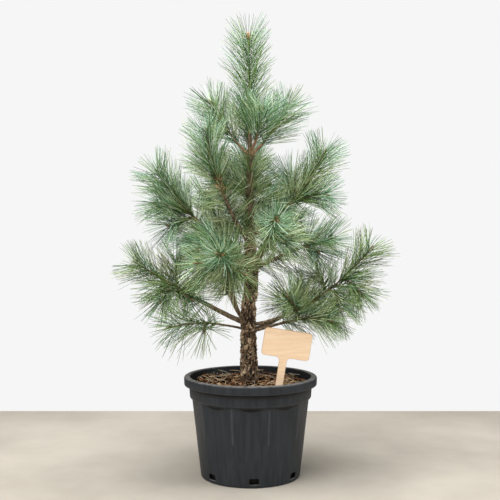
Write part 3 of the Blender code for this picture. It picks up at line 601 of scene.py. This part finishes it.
def clearOfTag(row):
    # Needles keep out of the tag and out of the view in front of it.
    middle = tagSize["middle"]
    for share in (0.35, 0.7, 1.0):
        spot = row[0] + (row[1] * share + row[3] * share * share) * row[4]
        near = abs(spot.x - middle[0]) < tagSize["width"] / 2 + 0.006
        if near and abs(spot.z - middle[2]) < tagSize["height"] / 2 + 0.012 and spot.y < middle[1] + 0.012:
            return False
    return True


def addFoliage(name, rows, materials):
    corners, quads, tris, indices = needleArrays([row for row in rows if clearOfTag(row)])
    piece = addPiece(f"foliage_{name}", corners, quads, tris, materials, indices)
    piece.data.shade_flat()
    return piece


def makeNeedles(name, paths, materials):
    dice = random.Random(name)
    rows = []
    for number, (path, shoot) in enumerate(zip(paths, plant["shoots"][name])):
        bare = plant["bareFootMm"].get(name, needleSize["bareMm"]) / 1000
        oldWood = pathLength(path) * plant["secondYear"].get(name, 0) if number == 0 else 0
        if name in plant["boughs"]:
            oldWood = max(oldWood, bare)
        share = shoot[4] if len(shoot) > 4 else needleSize["leaderShare"] if name == "leader" else 1.0
        oldNeedles(path, 0, oldWood, dice, rows)
        newNeedles(name, number, path, max(bare, oldWood), share, dice, rows)
    if name in plant["boughs"]:
        limb = boughPoints(name, 12)
        total = pathLength(limb)
        oldNeedles(limb, total * plant["clothedFrom"][name], total, dice, rows)
    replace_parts(addFoliage(name, rows, materials), f"needles_{name}")
    return len(rows)


def makeTrunkNeedles(materials):
    dice = random.Random("trunk")
    low, high = plant["trunkClothed"]
    path = [trunkPoint(low + (high - low) * step / 12) for step in range(13)]
    rows = []
    for _ in range(2):
        oldNeedles(path, 0, high - low, dice, rows)
    addFoliage("trunk", [row for row in rows if dice.random() < needleSize["trunkShare"]], materials)
    return len(rows)


# Young pine shoot: smooth, thin olive-tan skin, with a resinous tan bud at its end. Where a year's
# growth starts, papery brown bud scales stay on round its foot.
shootLook = {
    "skin": ("#80704C", "#4E402C"), "freshSkin": ("#9C7858", "#6E4F3A"),
    "leaderSkin": ("#858850", "#5E6238"), "bud": "#7C6648", "topBud": "#BC8262",
    "scales": ("#B0754D", "#7A4A2E", "#D2AA82"), "spotMm": 5.5, "roughness": 0.6,
}
shootSize = {
    "stepMm": 6, "sides": 9, "footMm": 3.6, "twigFootMm": 2.6, "topFootMm": 4.3, "tipMm": 1.7, "taper": 0.6,
    "bud": ((0, 1.5), (2, 2.2), (5, 2.3), (8, 1.4), (11, 0.3)),           # mm past the tip, radius
    "leaderBud": ((-5, 1.8), (-2, 3.6), (4, 4.8), (11, 4.0), (17, 0.8)),
    "scaleMm": (6, 13), "scaleThickMm": (1.2, 2.2),
}


def makeShootMaterials():
    kinds = []
    for name in ("skin", "freshSkin", "leaderSkin"):
        skin, shader = newMaterial(f"youngPineShoot_{name}")
        place = addNode(skin, "ShaderNodeTexCoord")
        spots = addNode(skin, "ShaderNodeTexNoise", values={"Scale": 1000 / shootLook["spotMm"], "Detail": 4.0},
                        links={"Vector": (place, "Object")})
        tint = addNode(skin, "ShaderNodeValToRGB", links={"Fac": (spots, "Fac")})
        setRamp(tint, ((0.35, shootLook[name][1]), (0.62, shootLook[name][0])))
        join(skin, tint, "Color", shader, "Base Color")
        shader.inputs["Roughness"].default_value = shootLook["roughness"]
        kinds.append(skin)
    for name in ("bud", "topBud"):
        kinds.append(plainMaterial(f"resinousPine_{name}", shootLook[name], shootLook["roughness"]))
    for number, colour in enumerate(shootLook["scales"]):
        kinds.append(plainMaterial(f"paperyBudScale_{number}", colour, shootLook["roughness"]))
    return kinds


def addTubes(name, parts, materials):
    # One piece from tubes, each given as its points, radii, number of sides and material.
    verts, quads, tris, quadKinds, triKinds = [], [], [], [], []
    for points, radii, sides, kind in parts:
        v, q, t = tubeArrays(points, radii, sides, first=len(verts))
        verts += v
        quads += q
        tris += t
        quadKinds += [kind] * len(q)
        triKinds += [kind] * len(t)
    return addPiece(name, verts, quads, tris, materials, quadKinds + triKinds)


def scaleTubes(path, start, end, radius, count, dice):
    s = shootSize
    parts = []
    for _ in range(count):
        foot, axis = walk(path, dice.uniform(start, end))
        out = turned(axis, dice.uniform(0, 360))
        way = (axis * dice.uniform(0.2, 1.2) + out).normalized() * dice.uniform(*s["scaleMm"]) / 1000
        thick = dice.uniform(*s["scaleThickMm"]) / 2000
        root = foot + out * radius
        parts.append(([root, root + way / 2, root + way], (thick * 0.6, thick, thick * 0.3), 3,
                      dice.choice((5, 6, 7))))
    return parts


def makeShoots(name, paths, materials):
    s = shootSize
    fresh = name.startswith("top")
    parts = []
    for number, path in enumerate(paths):
        fine = smoothPath(path, s["stepMm"] / 1000)
        last = len(fine) - 1
        foot = s["twigFootMm" if number else "footMm"]
        if name in plant["boughs"] and not number:
            foot = plant["boughs"][name][7] * 1000 / 2
        if fresh or name == "leader":
            foot = s["topFootMm"]
        radii = [(foot + (s["tipMm"] - foot) * (i / last) ** s["taper"]) / 1000 for i in range(last + 1)]
        parts.append((fine, radii, s["sides"], 2 if name == "leader" else int(fresh)))
        way = (fine[-1] - fine[-2]).normalized()
        bud = s["leaderBud" if name == "leader" else "bud"]
        parts.append(([fine[-1] + way * (past + 0.1) / 1000 for past, _ in bud], [r / 1000 for _, r in bud],
                      s["sides"], 4 if name == "leader" else 3))
    dice = random.Random(name + "scales")
    for place, start, end, radius, count in plant["scaly"]:
        if place == name:
            parts += scaleTubes(paths[0], start, end, radius, count, dice)
    addTubes(f"shoots_{name}", parts, materials)


def makeTrunkScales(materials):
    dice = random.Random("trunkScales")
    parts = []
    for place, start, end, radius, count in plant["scaly"]:
        if place == "trunk":
            parts += scaleTubes([trunkPoint(start), trunkPoint(end)], 0, end - start, radius, count, dice)
    addTubes("scales_trunk", parts, materials)


# Nursery pot: moulded black polypropylene, a low satin gloss with fine scuffs that run down it and faint dust on
# the lip and other upward faces, which also serves as a painted highlight along the top of the lip. Painted shadow
# darkens the collar under the lip and the tops of the flutes; the ribs and the lower edges of lip and collar carry
# pale lines, partly wear and partly painted highlight.
potSize = {
    "height": 0.257, "rimRadius": 0.1714, "lipDepth": 0.022, "lipTop": 0.016, "collarRadius": 0.1583,
    "collarFoot": 0.2035, "bodyRadius": 0.1515, "footRadius": 0.1275, "footRound": 0.004,
    "wall": 0.003, "flutes": 10, "fluteDepth": 0.0050, "fluteTop": 0.1965, "fluteFoot": 0.070,
    "slots": 7, "slotWidth": 0.024, "slotHeight": 0.016, "slotMiddle": 0.0168, "slotTurn": 3.8,
    "segments": 240,
}
potLook = {"base": "#202327", "light": "#2C3035", "dustAndSheen": "#A7A29C", "wornAndHighlitEdge": "#464A4E", "paintedShadowBlack": "#060708", "roughness": 0.50,
           "specular": 0.28, "scuffMm": 2.5}


def wallRadius(height):
    return potSize["footRadius"] + (potSize["bodyRadius"] - potSize["footRadius"]) * height / potSize["collarFoot"]


def eased(value):
    value = min(1.0, max(0.0, value))
    return value * value * (3 - 2 * value)


def fluteDepth(angle, height):
    # How far the wall is pressed in, hollow between sharp ribs, by angle from the front.
    p = potSize
    fade = eased((height - p["fluteFoot"]) / (p["fluteTop"] - p["fluteFoot"]))
    if height > p["fluteTop"]:
        fade = eased(1 - (height - p["fluteTop"]) / 0.003)
    across = abs((angle * p["flutes"] / (2 * math.pi) + 0.5) % 1 - 0.5) * 2
    return p["fluteDepth"] * fade * (1 - across * across)


def makePotMaterial():
    material, shader = newMaterial("mouldedBlackPolypropylene")
    place = addNode(material, "ShaderNodeTexCoord")
    stretch = addNode(material, "ShaderNodeMapping", values={"Scale": (1, 1, 0.06)},
                      links={"Vector": (place, "Object")})
    scuffs = addNode(material, "ShaderNodeTexNoise",
                     values={"Scale": 1000 / potLook["scuffMm"] / 4, "Detail": 5.0, "Roughness": 0.6},
                     links={"Vector": (stretch, "Vector")})
    tint = addNode(material, "ShaderNodeValToRGB", links={"Fac": (scuffs, "Fac")})
    setRamp(tint, ((0.38, potLook["base"]), (0.72, potLook["light"])))
    # Dust on upward faces, lightest on the lip's top; it also serves as a painted highlight along the top of the
    # lip.
    dustAndSheen = addNode(material, "ShaderNodeTexNoise", values={"Scale": 60.0, "Detail": 8.0, "Roughness": 0.7},
                   links={"Vector": (place, "Object")})
    up = addNode(material, "ShaderNodeSeparateXYZ", links={"Vector": (place, "Normal")})
    upFacingDustAndSheen = addNode(material, "ShaderNodeMath", {"operation": "MULTIPLY"},
                   links={0: (up, "Z"), 1: (dustAndSheen, "Fac")})
    share = addNode(material, "ShaderNodeMapRange", values={"From Min": 0.22, "From Max": 0.65, "To Max": 0.60},
                    links={"Value": (upFacingDustAndSheen, "Value")})
    # Pale lines on the ribs and on the lower edges of lip and collar: partly wear, partly painted highlight.
    wearAndHighlight = addNode(material, "ShaderNodeAttribute", {"attribute_name": "wearAndHighlight"})
    wornAndHighlit = addNode(material, "ShaderNodeMath", {"operation": "MULTIPLY"}, links={0: (wearAndHighlight, "Fac"), 1: (dustAndSheen, "Fac")})
    wornAndHighlitEdge = addNode(material, "ShaderNodeMix", {"data_type": "RGBA"}, values={"B": linear(potLook["wornAndHighlitEdge"])},
                     links={"Factor": (wornAndHighlit, "Value"), "A": (tint, "Color")})
    dustyAndSheen = addNode(material, "ShaderNodeMix", {"data_type": "RGBA"}, values={"B": linear(potLook["dustAndSheen"])},
                    links={"Factor": (share, "Result"), "A": (wornAndHighlitEdge, "Result")})
    # The shade attribute mixes in near-black: painted shadow under the lip and in the tops of the flutes.
    shade = addNode(material, "ShaderNodeAttribute", {"attribute_name": "shade"})
    withPaintedShadow = addNode(material, "ShaderNodeMix", {"data_type": "RGBA"}, values={"B": linear(potLook["paintedShadowBlack"])},
                        links={"Factor": (shade, "Fac"), "A": (dustyAndSheen, "Result")})
    join(material, withPaintedShadow, "Result", shader, "Base Color")
    grain = addNode(material, "ShaderNodeTexNoise", values={"Scale": 900.0, "Detail": 3.0},
                    links={"Vector": (place, "Object")})
    bump = addNode(material, "ShaderNodeBump", values={"Strength": 0.15, "Distance": 0.0004},
                   links={"Height": (grain, "Fac")})
    join(material, bump, "Normal", shader, "Normal")
    shader.inputs["Roughness"].default_value = potLook["roughness"]
    shader.inputs["Specular IOR Level"].default_value = potLook["specular"]
    return material


def roundCorner(before, corner, after, radius, steps=4):
    # Points of an arc that rounds a corner of a profile.
    a = (Vector(before) - Vector(corner)).normalized()
    b = (Vector(after) - Vector(corner)).normalized()
    points = []
    for step in range(steps + 1):
        t = step / steps
        start, end = Vector(corner) + a * radius, Vector(corner) + b * radius
        points.append(tuple(start * (1 - t) ** 2 + Vector(corner) * 2 * t * (1 - t) + end * t * t))
    return points


def potProfile():
    p = potSize
    lipBottom = p["height"] - p["lipDepth"]
    rough = [
        ((p["rimRadius"] - p["lipTop"], p["height"]), 0.0030),
        ((p["rimRadius"], p["height"]), 0.0055),
        ((p["rimRadius"] - 0.0008, lipBottom), 0.0030),
        ((p["collarRadius"], lipBottom), 0.0010),
        ((p["collarRadius"] - 0.0021, p["collarFoot"] + 0.0005), 0.0030),
        ((p["bodyRadius"], p["collarFoot"] - 0.0035), 0.0010),
    ]
    profile = []
    inner = (p["collarRadius"] - p["wall"] - 0.003, p["collarFoot"] + 0.006)
    corners = [inner] + [c for c, _ in rough] + [(wallRadius(p["fluteTop"]), p["fluteTop"])]
    for i, (corner, radius) in enumerate(rough):
        profile += roundCorner(corners[i], corner, corners[i + 2], radius)
        if corner[1] == lipBottom and i == 3:
            profile += [tuple(Vector(corner).lerp(Vector(corners[i + 2]), t)) for t in (0.1, 0.2, 0.3, 0.5)]
    heights = np.concatenate([np.linspace(p["fluteTop"], p["fluteTop"] - 0.016, 12),
                              np.linspace(p["fluteTop"] - 0.018, 0.010, 26)])
    profile += [(wallRadius(h), float(h)) for h in heights]
    foot = (wallRadius(0.0), 0.0)
    profile += roundCorner((wallRadius(0.01), 0.01), foot, (0.0, 0.0), p["footRound"])
    profile += [(0.0, 0.0)]
    inside = [(0.0, p["wall"]), (p["footRadius"] - p["wall"] - 0.001, p["wall"])]
    inside += [(wallRadius(h) - p["wall"], float(h)) for h in heights[::-1][1::2]]
    inside += [inner]
    return inside + profile


def edgeWearAndHighlight(x, z):
    # The lip's and the collar's lower edges are paler: partly wear, partly a painted highlight along each edge.
    p = potSize
    lipBottom = p["height"] - p["lipDepth"]
    if abs(z - lipBottom) < 0.0025 and x > p["rimRadius"] - 0.003:
        return 0.7
    return 0.4 if abs(z - p["collarFoot"]) < 0.0025 and x > p["collarRadius"] - 0.004 else 0.0


def lipShade(x, z):
    # Painted shadow under the lip: the collar just below it is mixed toward near-black.
    p = potSize
    lipBottom = p["height"] - p["lipDepth"]
    if x > p["collarRadius"] + 0.006 or z > lipBottom + 0.0005 or z < p["collarFoot"]:
        return 0.0
    return eased(1 - (lipBottom - z) / 0.014)


def fluteShade(share, z):
    # Painted shadow in the top of each flute under the collar step, reaching lowest in its middle.
    p = potSize
    edge = p["collarFoot"] - 0.004 - 0.010 * max(0.0, (share - 0.55) / 0.45)
    return eased((z - edge) / 0.002) if share > 0.5 else 0.0


def makePot():
    p = potSize
    profile = potProfile()
    segments = p["segments"]
    verts, quads, tris, wearAndHighlights, shades = [], [], [], [], []
    for x, z in profile[1:-1]:
        for s in range(segments):
            angle = 2 * math.pi * s / segments
            pressed = p["fluteFoot"] < z < p["fluteTop"] + 0.003 and x < p["bodyRadius"] + 0.0001
            depth = fluteDepth(angle, z) if pressed else 0
            radius = x - depth
            verts.append((radius * math.sin(angle), -radius * math.cos(angle), z))
            deepest = fluteDepth(0, z) if pressed else 0
            # The ribs between the flutes get the same pale line: partly wear, partly painted highlight where they
            # catch the light.
            wearAndHighlights.append(max(0.0, 1 - depth / deepest / 0.14) if deepest > 0.001 else edgeWearAndHighlight(x, z))
            # shades carries the painted shadow under the lip and in the flute tops.
            shades.append(fluteShade(depth / deepest, z) if deepest > 0.001 else lipShade(x, z))
    rings = len(profile) - 2
    for r in range(rings - 1):
        for s in range(segments):
            t = (s + 1) % segments
            quads.append((r * segments + s, (r + 1) * segments + s, (r + 1) * segments + t, r * segments + t))
    for ring, height, flip in ((0, profile[0][1], True), (rings - 1, 0.0, False)):
        hub = len(verts)
        verts.append((0.0, 0.0, height))
        for s in range(segments):
            a, b = ring * segments + s, ring * segments + (s + 1) % segments
            tris.append((hub, a, b) if flip else (hub, b, a))
    piece = addPiece("nursery_pot", verts, quads, tris, [makePotMaterial()])
    setValues(piece, "wearAndHighlight", wearAndHighlights + [0.0, 0.0])
    setValues(piece, "shade", shades + [0.0, 0.0])
    work = bmesh.new()
    work.from_mesh(piece.data)
    bmesh.ops.recalc_face_normals(work, faces=work.faces)
    work.to_mesh(piece.data)
    work.free()
    for number in range(p["slots"]):
        angle = math.radians(-90 + p["slotTurn"] + 360 / p["slots"] * number)
        cutWork = bmesh.new()
        bmesh.ops.create_cube(cutWork, size=1.0)
        bmesh.ops.scale(cutWork, vec=(0.03, p["slotWidth"], p["slotHeight"]), verts=cutWork.verts)
        along = [e for e in cutWork.edges if abs(e.verts[0].co.x - e.verts[1].co.x) > 0.01]
        bmesh.ops.bevel(cutWork, geom=along, offset=0.003, segments=4, affect="EDGES", profile=0.5)
        mesh = bpy.data.meshes.new("slotCut")
        cutWork.to_mesh(mesh)
        cutWork.free()
        cutter = bpy.data.objects.new("slotCut", mesh)
        bpy.context.scene.collection.objects.link(cutter)
        cutter.location = (math.cos(angle) * p["footRadius"], math.sin(angle) * p["footRadius"], p["slotMiddle"])
        cutter.rotation_euler = (0, 0, angle)
        step = piece.modifiers.new("slot", "BOOLEAN")
        step.operation = "DIFFERENCE"
        step.object = cutter
    bpy.context.view_layer.update()
    graph = bpy.context.evaluated_depsgraph_get()
    mesh = bpy.data.meshes.new_from_object(piece.evaluated_get(graph))
    piece.modifiers.clear()
    piece.data = mesh
    for thing in [o for o in bpy.data.objects if o.name.startswith("slotCut")]:
        bpy.data.objects.remove(thing, do_unlink=True)
    mesh.shade_smooth()
    mesh.set_sharp_from_angle(angle=math.radians(40))
    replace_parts(piece, "pot")


# Growing medium: moist shredded bark, nearly black where it is deep, with drier chips and a litter of fallen
# needles on it that stand up here and there. The near-black ground and the near-black chips are partly the damp
# bark's own colour and partly painted shade in the gaps between chips.
soilSize = {
    "radius": 0.1508, "level": 0.2405, "edge": 0.2370, "rings": 44, "segments": 150,
    "chips": 620, "chipMm": ((4, 15), (2.5, 6), (1.0, 3.5)), "chipLiftMm": 3.5,
    "straws": 460, "strawMm": (14, 46), "strawThickMm": (0.6, 1.3), "strawLiftMm": 15,
    "trunkClear": 0.028,
}
soilLook = {
    # ground and the near-black chips: the damp bark's own dark colour and painted shade in the gaps between chips.
    "ground": ("#070302", "#1A0E08"), "chips": ("#46301E", "#84603F", "#0C0603", "#140A05", "#BC9468", "#1C0F08", "#100805"),
    "straws": ("#F0C994", "#9A5F33", "#5B361F", "#FFEACB"), "deep": "#15100C", "roughness": 0.95,
    "specular": 0.12,
}


def plainMaterial(name, colour, roughness, specular=0.5):
    material, shader = newMaterial(name)
    shader.inputs["Base Color"].default_value = linear(colour)
    shader.inputs["Roughness"].default_value = roughness
    shader.inputs["Specular IOR Level"].default_value = specular
    return material


def soilHeight(x, y):
    share = eased((math.hypot(x, y) - 0.05) / 0.06)
    base = soilSize["level"] + (soilSize["edge"] - soilSize["level"]) * share
    lumps = noise.noise(Vector((x * 38, y * 38, 0))) * 0.0030
    return base + lumps + noise.noise(Vector((x * 130, y * 130, 3))) * 0.0014


def makeSoil():
    s = soilSize
    verts, quads, tris = [(0, 0, soilHeight(0, 0))], [], []
    for ring in range(1, s["rings"] + 1):
        radius = s["radius"] * ring / s["rings"]
        for k in range(s["segments"]):
            a = 2 * math.pi * k / s["segments"]
            x, y = radius * math.cos(a), radius * math.sin(a)
            verts.append((x, y, soilHeight(x, y)))
    lower = [(0.1500, 0.214), (0.1400, 0.192), (0.1190, 0.0034)]
    for radius, z in lower:
        for k in range(s["segments"]):
            a = 2 * math.pi * k / s["segments"]
            verts.append((radius * math.cos(a), radius * math.sin(a), z))
    n = s["segments"]
    for k in range(n):
        tris.append((0, 1 + k, 1 + (k + 1) % n))
    for ring in range(s["rings"] + len(lower) - 1):
        for k in range(n):
            a, b, t = 1 + ring * n, 1 + (ring + 1) * n, (k + 1) % n
            quads.append((a + k, b + k, b + t, a + t))
    hub = len(verts)
    verts.append((0, 0, 0.0034))
    last = 1 + (s["rings"] + len(lower) - 1) * n
    for k in range(n):
        tris.append((hub, last + (k + 1) % n, last + k))
    ground, shader = newMaterial("shreddedBarkMulch")
    place = addNode(ground, "ShaderNodeTexCoord")
    speck = addNode(ground, "ShaderNodeTexNoise", values={"Scale": 160.0, "Detail": 8.0, "Roughness": 0.7},
                    links={"Vector": (place, "Object")})
    tint = addNode(ground, "ShaderNodeValToRGB", links={"Fac": (speck, "Fac")})
    setRamp(tint, ((0.40, soilLook["ground"][0]), (0.68, soilLook["ground"][1])))
    join(ground, tint, "Color", shader, "Base Color")
    shader.inputs["Roughness"].default_value = soilLook["roughness"]
    shader.inputs["Specular IOR Level"].default_value = soilLook["specular"]
    footShade = plainMaterial("dampBarkMulch", soilLook["deep"], 0.9)
    surface = (s["rings"] - 1) * n
    indices = [0 if i < surface else 1 for i in range(len(quads))] + [0 if i < n else 1 for i in range(len(tris))]
    piece = addPiece("growing_medium", verts, quads, tris, [ground, footShade], indices)
    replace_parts(piece, "soil")


def litterSpot(dice, reach):
    while True:
        radius = (soilSize["radius"] - reach) * math.sqrt(dice.random())
        a = dice.uniform(0, 2 * math.pi)
        x, y = radius * math.cos(a), radius * math.sin(a)
        if math.hypot(x + 0.003, y) > soilSize["trunkClear"]:
            return x, y


def makeChips(dice):
    kinds = [plainMaterial(f"dryBarkChip_{i}", c, 0.9, soilLook["specular"])
             for i, c in enumerate(soilLook["chips"])]
    verts, quads, indices = [], [], []
    for number in range(soilSize["chips"]):
        x, y = litterSpot(dice, 0.009)
        size = Vector([dice.uniform(*span) / 1000 for span in soilSize["chipMm"]])
        turn = Matrix.Rotation(dice.uniform(0, 6.28), 3, "Z") @ Matrix.Rotation(dice.uniform(-0.7, 0.7), 3, "Y")
        turn = turn @ Matrix.Rotation(dice.uniform(-0.6, 0.6), 3, "X")
        centre = Vector((x, y, soilHeight(x, y) + dice.uniform(0.2, soilSize["chipLiftMm"]) / 1000))
        first = len(verts)
        for cx in (-1, 1):
            for cy in (-1, 1):
                for cz in (-1, 1):
                    corner = Vector([c * s * dice.uniform(0.55, 1.15) for c, s in zip((cx, cy, cz), size)])
                    verts.append(centre + turn @ corner * 0.5)
        for face in ((0, 1, 3, 2), (4, 6, 7, 5), (0, 4, 5, 1), (2, 3, 7, 6), (0, 2, 6, 4), (1, 5, 7, 3)):
            quads.append([first + i for i in face])
            indices.append(number % len(kinds))
    piece = addPiece("bark_chips", verts, quads, np.zeros((0, 3)), kinds, indices)
    piece.data.shade_flat()


def makeStraws(dice):
    kinds = [plainMaterial(f"dryFallenNeedle_{i}", c, 0.7) for i, c in enumerate(soilLook["straws"])]
    verts, quads, tris, counts = [], [], [], []
    for number in range(soilSize["straws"]):
        length = dice.uniform(*soilSize["strawMm"]) / 1000
        x, y = litterSpot(dice, 0.010)
        a = dice.uniform(0, 6.28)
        ends = []
        for sign in (-1, 1):
            ex, ey = x + sign * math.cos(a) * length / 2, y + sign * math.sin(a) * length / 2
            reach = max(1.0, math.hypot(ex, ey) / (soilSize["radius"] - 0.001))
            ex, ey = ex / reach, ey / reach
            lift = (1.5 + soilSize["strawLiftMm"] * dice.random() ** 3) / 1000
            ends.append(Vector((ex, ey, soilHeight(ex, ey) + lift)))
        middle = (ends[0] + ends[1]) / 2 + Vector((0, 0, dice.uniform(0.0, 0.004)))
        thick = dice.uniform(*soilSize["strawThickMm"]) / 2000
        v, q, t = tubeArrays([ends[0], middle, ends[1]], (thick, thick * 1.1, thick * 0.5), 3, first=len(verts))
        verts += v
        quads += q
        tris += t
        counts.append((len(q), len(t), number % len(kinds)))
    indices = [k for q, t, k in counts for _ in range(q)] + [k for q, t, k in counts for _ in range(t)]
    piece = addPiece("fallen_needles", verts, quads, tris, kinds, indices)


# Plant tag: laser-cut birch plywood, pale close grain on the face and a scorched brown edge.
tagSize = {
    "width": 0.119, "height": 0.0685, "thickness": 0.004, "round": 0.008, "stemWidth": 0.019,
    "stemLength": 0.140, "stemRound": 0.010, "stemLeft": 0.0035, "middle": (0.0899, -0.100, 0.351),
    "tilt": 9.0, "turn": 2.0,
}
tagLook = {"face": "#EFD4B4", "grain": "#E6C29A", "edge": "#AE8458", "roughness": 0.55}


def arcPoints(centre, radius, start, end, steps):
    points = []
    for step in range(steps + 1):
        a = math.radians(start + (end - start) * step / steps)
        points.append((centre[0] + radius * math.cos(a), centre[1] + radius * math.sin(a)))
    return points


def makeTag():
    t = tagSize
    half, high, stem = t["width"] / 2, t["height"] / 2, t["stemWidth"] / 2
    r, f = t["round"], t["stemRound"]
    low = -high - t["stemLength"]
    left, right = -stem - t["stemLeft"], stem - t["stemLeft"]
    outline = arcPoints((half - r, high - r), r, 0, 90, 8) + arcPoints((-half + r, high - r), r, 90, 180, 8)
    outline += arcPoints((-half + r, -high + r), r, 180, 270, 8)
    outline += arcPoints((left - f, -high - f), f, 90, 0, 8)
    outline += [(left, low + 0.012), (left + stem * 0.65, low), (right - stem * 0.65, low), (right, low + 0.012)]
    outline += arcPoints((right + f, -high - f), f, 180, 90, 8) + arcPoints((half - r, -high + r), r, 270, 360, 8)
    work = bmesh.new()
    front = [work.verts.new((x, -t["thickness"] / 2, z)) for x, z in outline]
    face = work.faces.new(front)
    grown = bmesh.ops.extrude_face_region(work, geom=[face])
    moved = [v for v in grown["geom"] if isinstance(v, bmesh.types.BMVert)]
    bmesh.ops.translate(work, vec=(0, t["thickness"], 0), verts=moved)
    bmesh.ops.recalc_face_normals(work, faces=work.faces)
    rims = [e for e in work.edges if any(len(x.verts) > 6 for x in e.link_faces)]
    bmesh.ops.bevel(work, geom=rims, offset=0.0007, segments=2, affect="EDGES", profile=0.6)
    for item in work.faces:
        item.material_index = 0 if len(item.verts) > 6 else 1
    mesh = bpy.data.meshes.new("plant_tag")
    work.to_mesh(mesh)
    work.free()
    ply, shader = newMaterial("birchPlywoodFace")
    place = addNode(ply, "ShaderNodeTexCoord")
    along = addNode(ply, "ShaderNodeMapping", values={"Scale": (6, 60, 60)}, links={"Vector": (place, "Object")})
    grain = addNode(ply, "ShaderNodeTexNoise", values={"Scale": 3.0, "Detail": 6.0, "Roughness": 0.6, "Distortion": 0.4},
                    links={"Vector": (along, "Vector")})
    tint = addNode(ply, "ShaderNodeValToRGB", links={"Fac": (grain, "Fac")})
    setRamp(tint, ((0.38, tagLook["face"]), (0.72, tagLook["grain"])))
    join(ply, tint, "Color", shader, "Base Color")
    shader.inputs["Roughness"].default_value = tagLook["roughness"]
    edge = plainMaterial("scorchedPlywoodEdge", tagLook["edge"], 0.7)
    mesh.materials.append(ply)
    mesh.materials.append(edge)
    piece = bpy.data.objects.new("plant_tag", mesh)
    bpy.context.scene.collection.objects.link(piece)
    turn = Matrix.Rotation(math.radians(t["turn"]), 4, "Z") @ Matrix.Rotation(math.radians(t["tilt"]), 4, "Y")
    mesh.transform(Matrix.Translation(t["middle"]) @ turn)
    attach(piece, "root")
    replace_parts(piece, "wooden_tag")


# Studio: the photograph's camera, a pale floor and soft light from both sides and above.
studio = {
    "cameraPlace": (-0.0013, -2.235, 0.6314), "pitch": 1.297, "focalPixels": 868, "framePixels": 500,
    "floorBack": 0.785, "backdrop": "#F6F6F6", "backdropLight": 1.0, "worldLight": 0.17,
    "lights": (("key", (-1.5, -1.5, 2.4), 3.2, 100), ("fill", (2.2, -0.8, 1.7), 1.8, 42),
               ("top", (0.0, 0.1, 2.8), 2.0, 90), ("front", (-0.5, -2.7, 2.3), 1.4, 30)),
}


def makeStudio():
    s = studio
    camera = bpy.data.cameras.new("camera")
    camera.sensor_width = 36.0
    camera.lens = s["focalPixels"] / s["framePixels"] * camera.sensor_width
    cameraObject = bpy.data.objects.new("camera", camera)
    cameraObject.location = s["cameraPlace"]
    cameraObject.rotation_euler = (math.radians(90 - s["pitch"]), 0, 0)
    bpy.context.scene.collection.objects.link(cameraObject)
    bpy.context.scene.camera = cameraObject
    mesh = bpy.data.meshes.new("floor")
    mesh.from_pydata([(-4, -5, 0), (4, -5, 0), (4, s["floorBack"], 0), (-4, s["floorBack"], 0)], [], [(0, 1, 2, 3)])
    material, shader = newMaterial("paleConcreteFloor")
    place = addNode(material, "ShaderNodeTexCoord")
    cloud = addNode(material, "ShaderNodeTexNoise", values={"Scale": 1.6, "Detail": 7.0, "Roughness": 0.6},
                    links={"Vector": (place, "Object")})
    tint = addNode(material, "ShaderNodeValToRGB", links={"Fac": (cloud, "Fac")})
    setRamp(tint, ((0.3, "#928B80"), (0.7, "#B2AB9F")))
    join(material, tint, "Color", shader, "Base Color")
    shader.inputs["Roughness"].default_value = 0.7
    mesh.materials.append(material)
    floor = bpy.data.objects.new("floor", mesh)
    bpy.context.scene.collection.objects.link(floor)
    for name, place, size, power in s["lights"]:
        light = bpy.data.lights.new(name, "AREA")
        light.shape = "DISK"
        light.size = size
        light.energy = power
        lamp = bpy.data.objects.new(name, light)
        lamp.location = place
        aim = Vector((0, 0, 0.55)) - Vector(place)
        lamp.rotation_euler = aim.to_track_quat("-Z", "Y").to_euler()
        bpy.context.scene.collection.objects.link(lamp)
    world = bpy.data.worlds.new("studioWhite")
    bpy.context.scene.world = world
    world.use_nodes = True
    nodes, links = world.node_tree.nodes, world.node_tree.links
    sky = nodes["Background"]
    sky.inputs["Color"].default_value = linear(s["backdrop"])
    seen = nodes.new("ShaderNodeLightPath")
    strength = nodes.new("ShaderNodeMapRange")
    strength.inputs["To Min"].default_value = s["worldLight"]
    strength.inputs["To Max"].default_value = s["backdropLight"]
    links.new(seen.outputs["Is Camera Ray"], strength.inputs["Value"])
    links.new(strength.outputs["Result"], sky.inputs["Strength"])
    bpy.context.scene.view_settings.view_transform = "Standard"


makeStudio()
print("studio ready")
makePot()
print("pot ready")
makeSoil()
litterDice = random.Random(11)
makeChips(litterDice)
makeStraws(litterDice)
print("growing medium ready")
makeTag()
print("tag ready")
oldBark = makeBark("flakingPineBark", [barkLook[k] for k in ("dark", "plate", "light")], 0.8)
youngBark = makeBark("youngPineBark", [barkLook[k] for k in ("limbDark", "limb", "limbLight")], 0.4)
makeTrunk(oldBark)
for boughName in plant["boughs"]:
    makeBough(boughName, youngBark)
print("trunk and boughs ready")
needleMaterials = makeNeedleMaterials()
shootMaterials = makeShootMaterials()
needleCount = 0
for massName in plant["shoots"]:
    massShape = massPaths(massName)
    makeShoots(massName, massShape, shootMaterials)
    needleCount += makeNeedles(massName, massShape, needleMaterials)
needleCount += makeTrunkNeedles(needleMaterials)
makeTrunkScales(shootMaterials)
print("needles", needleCount)
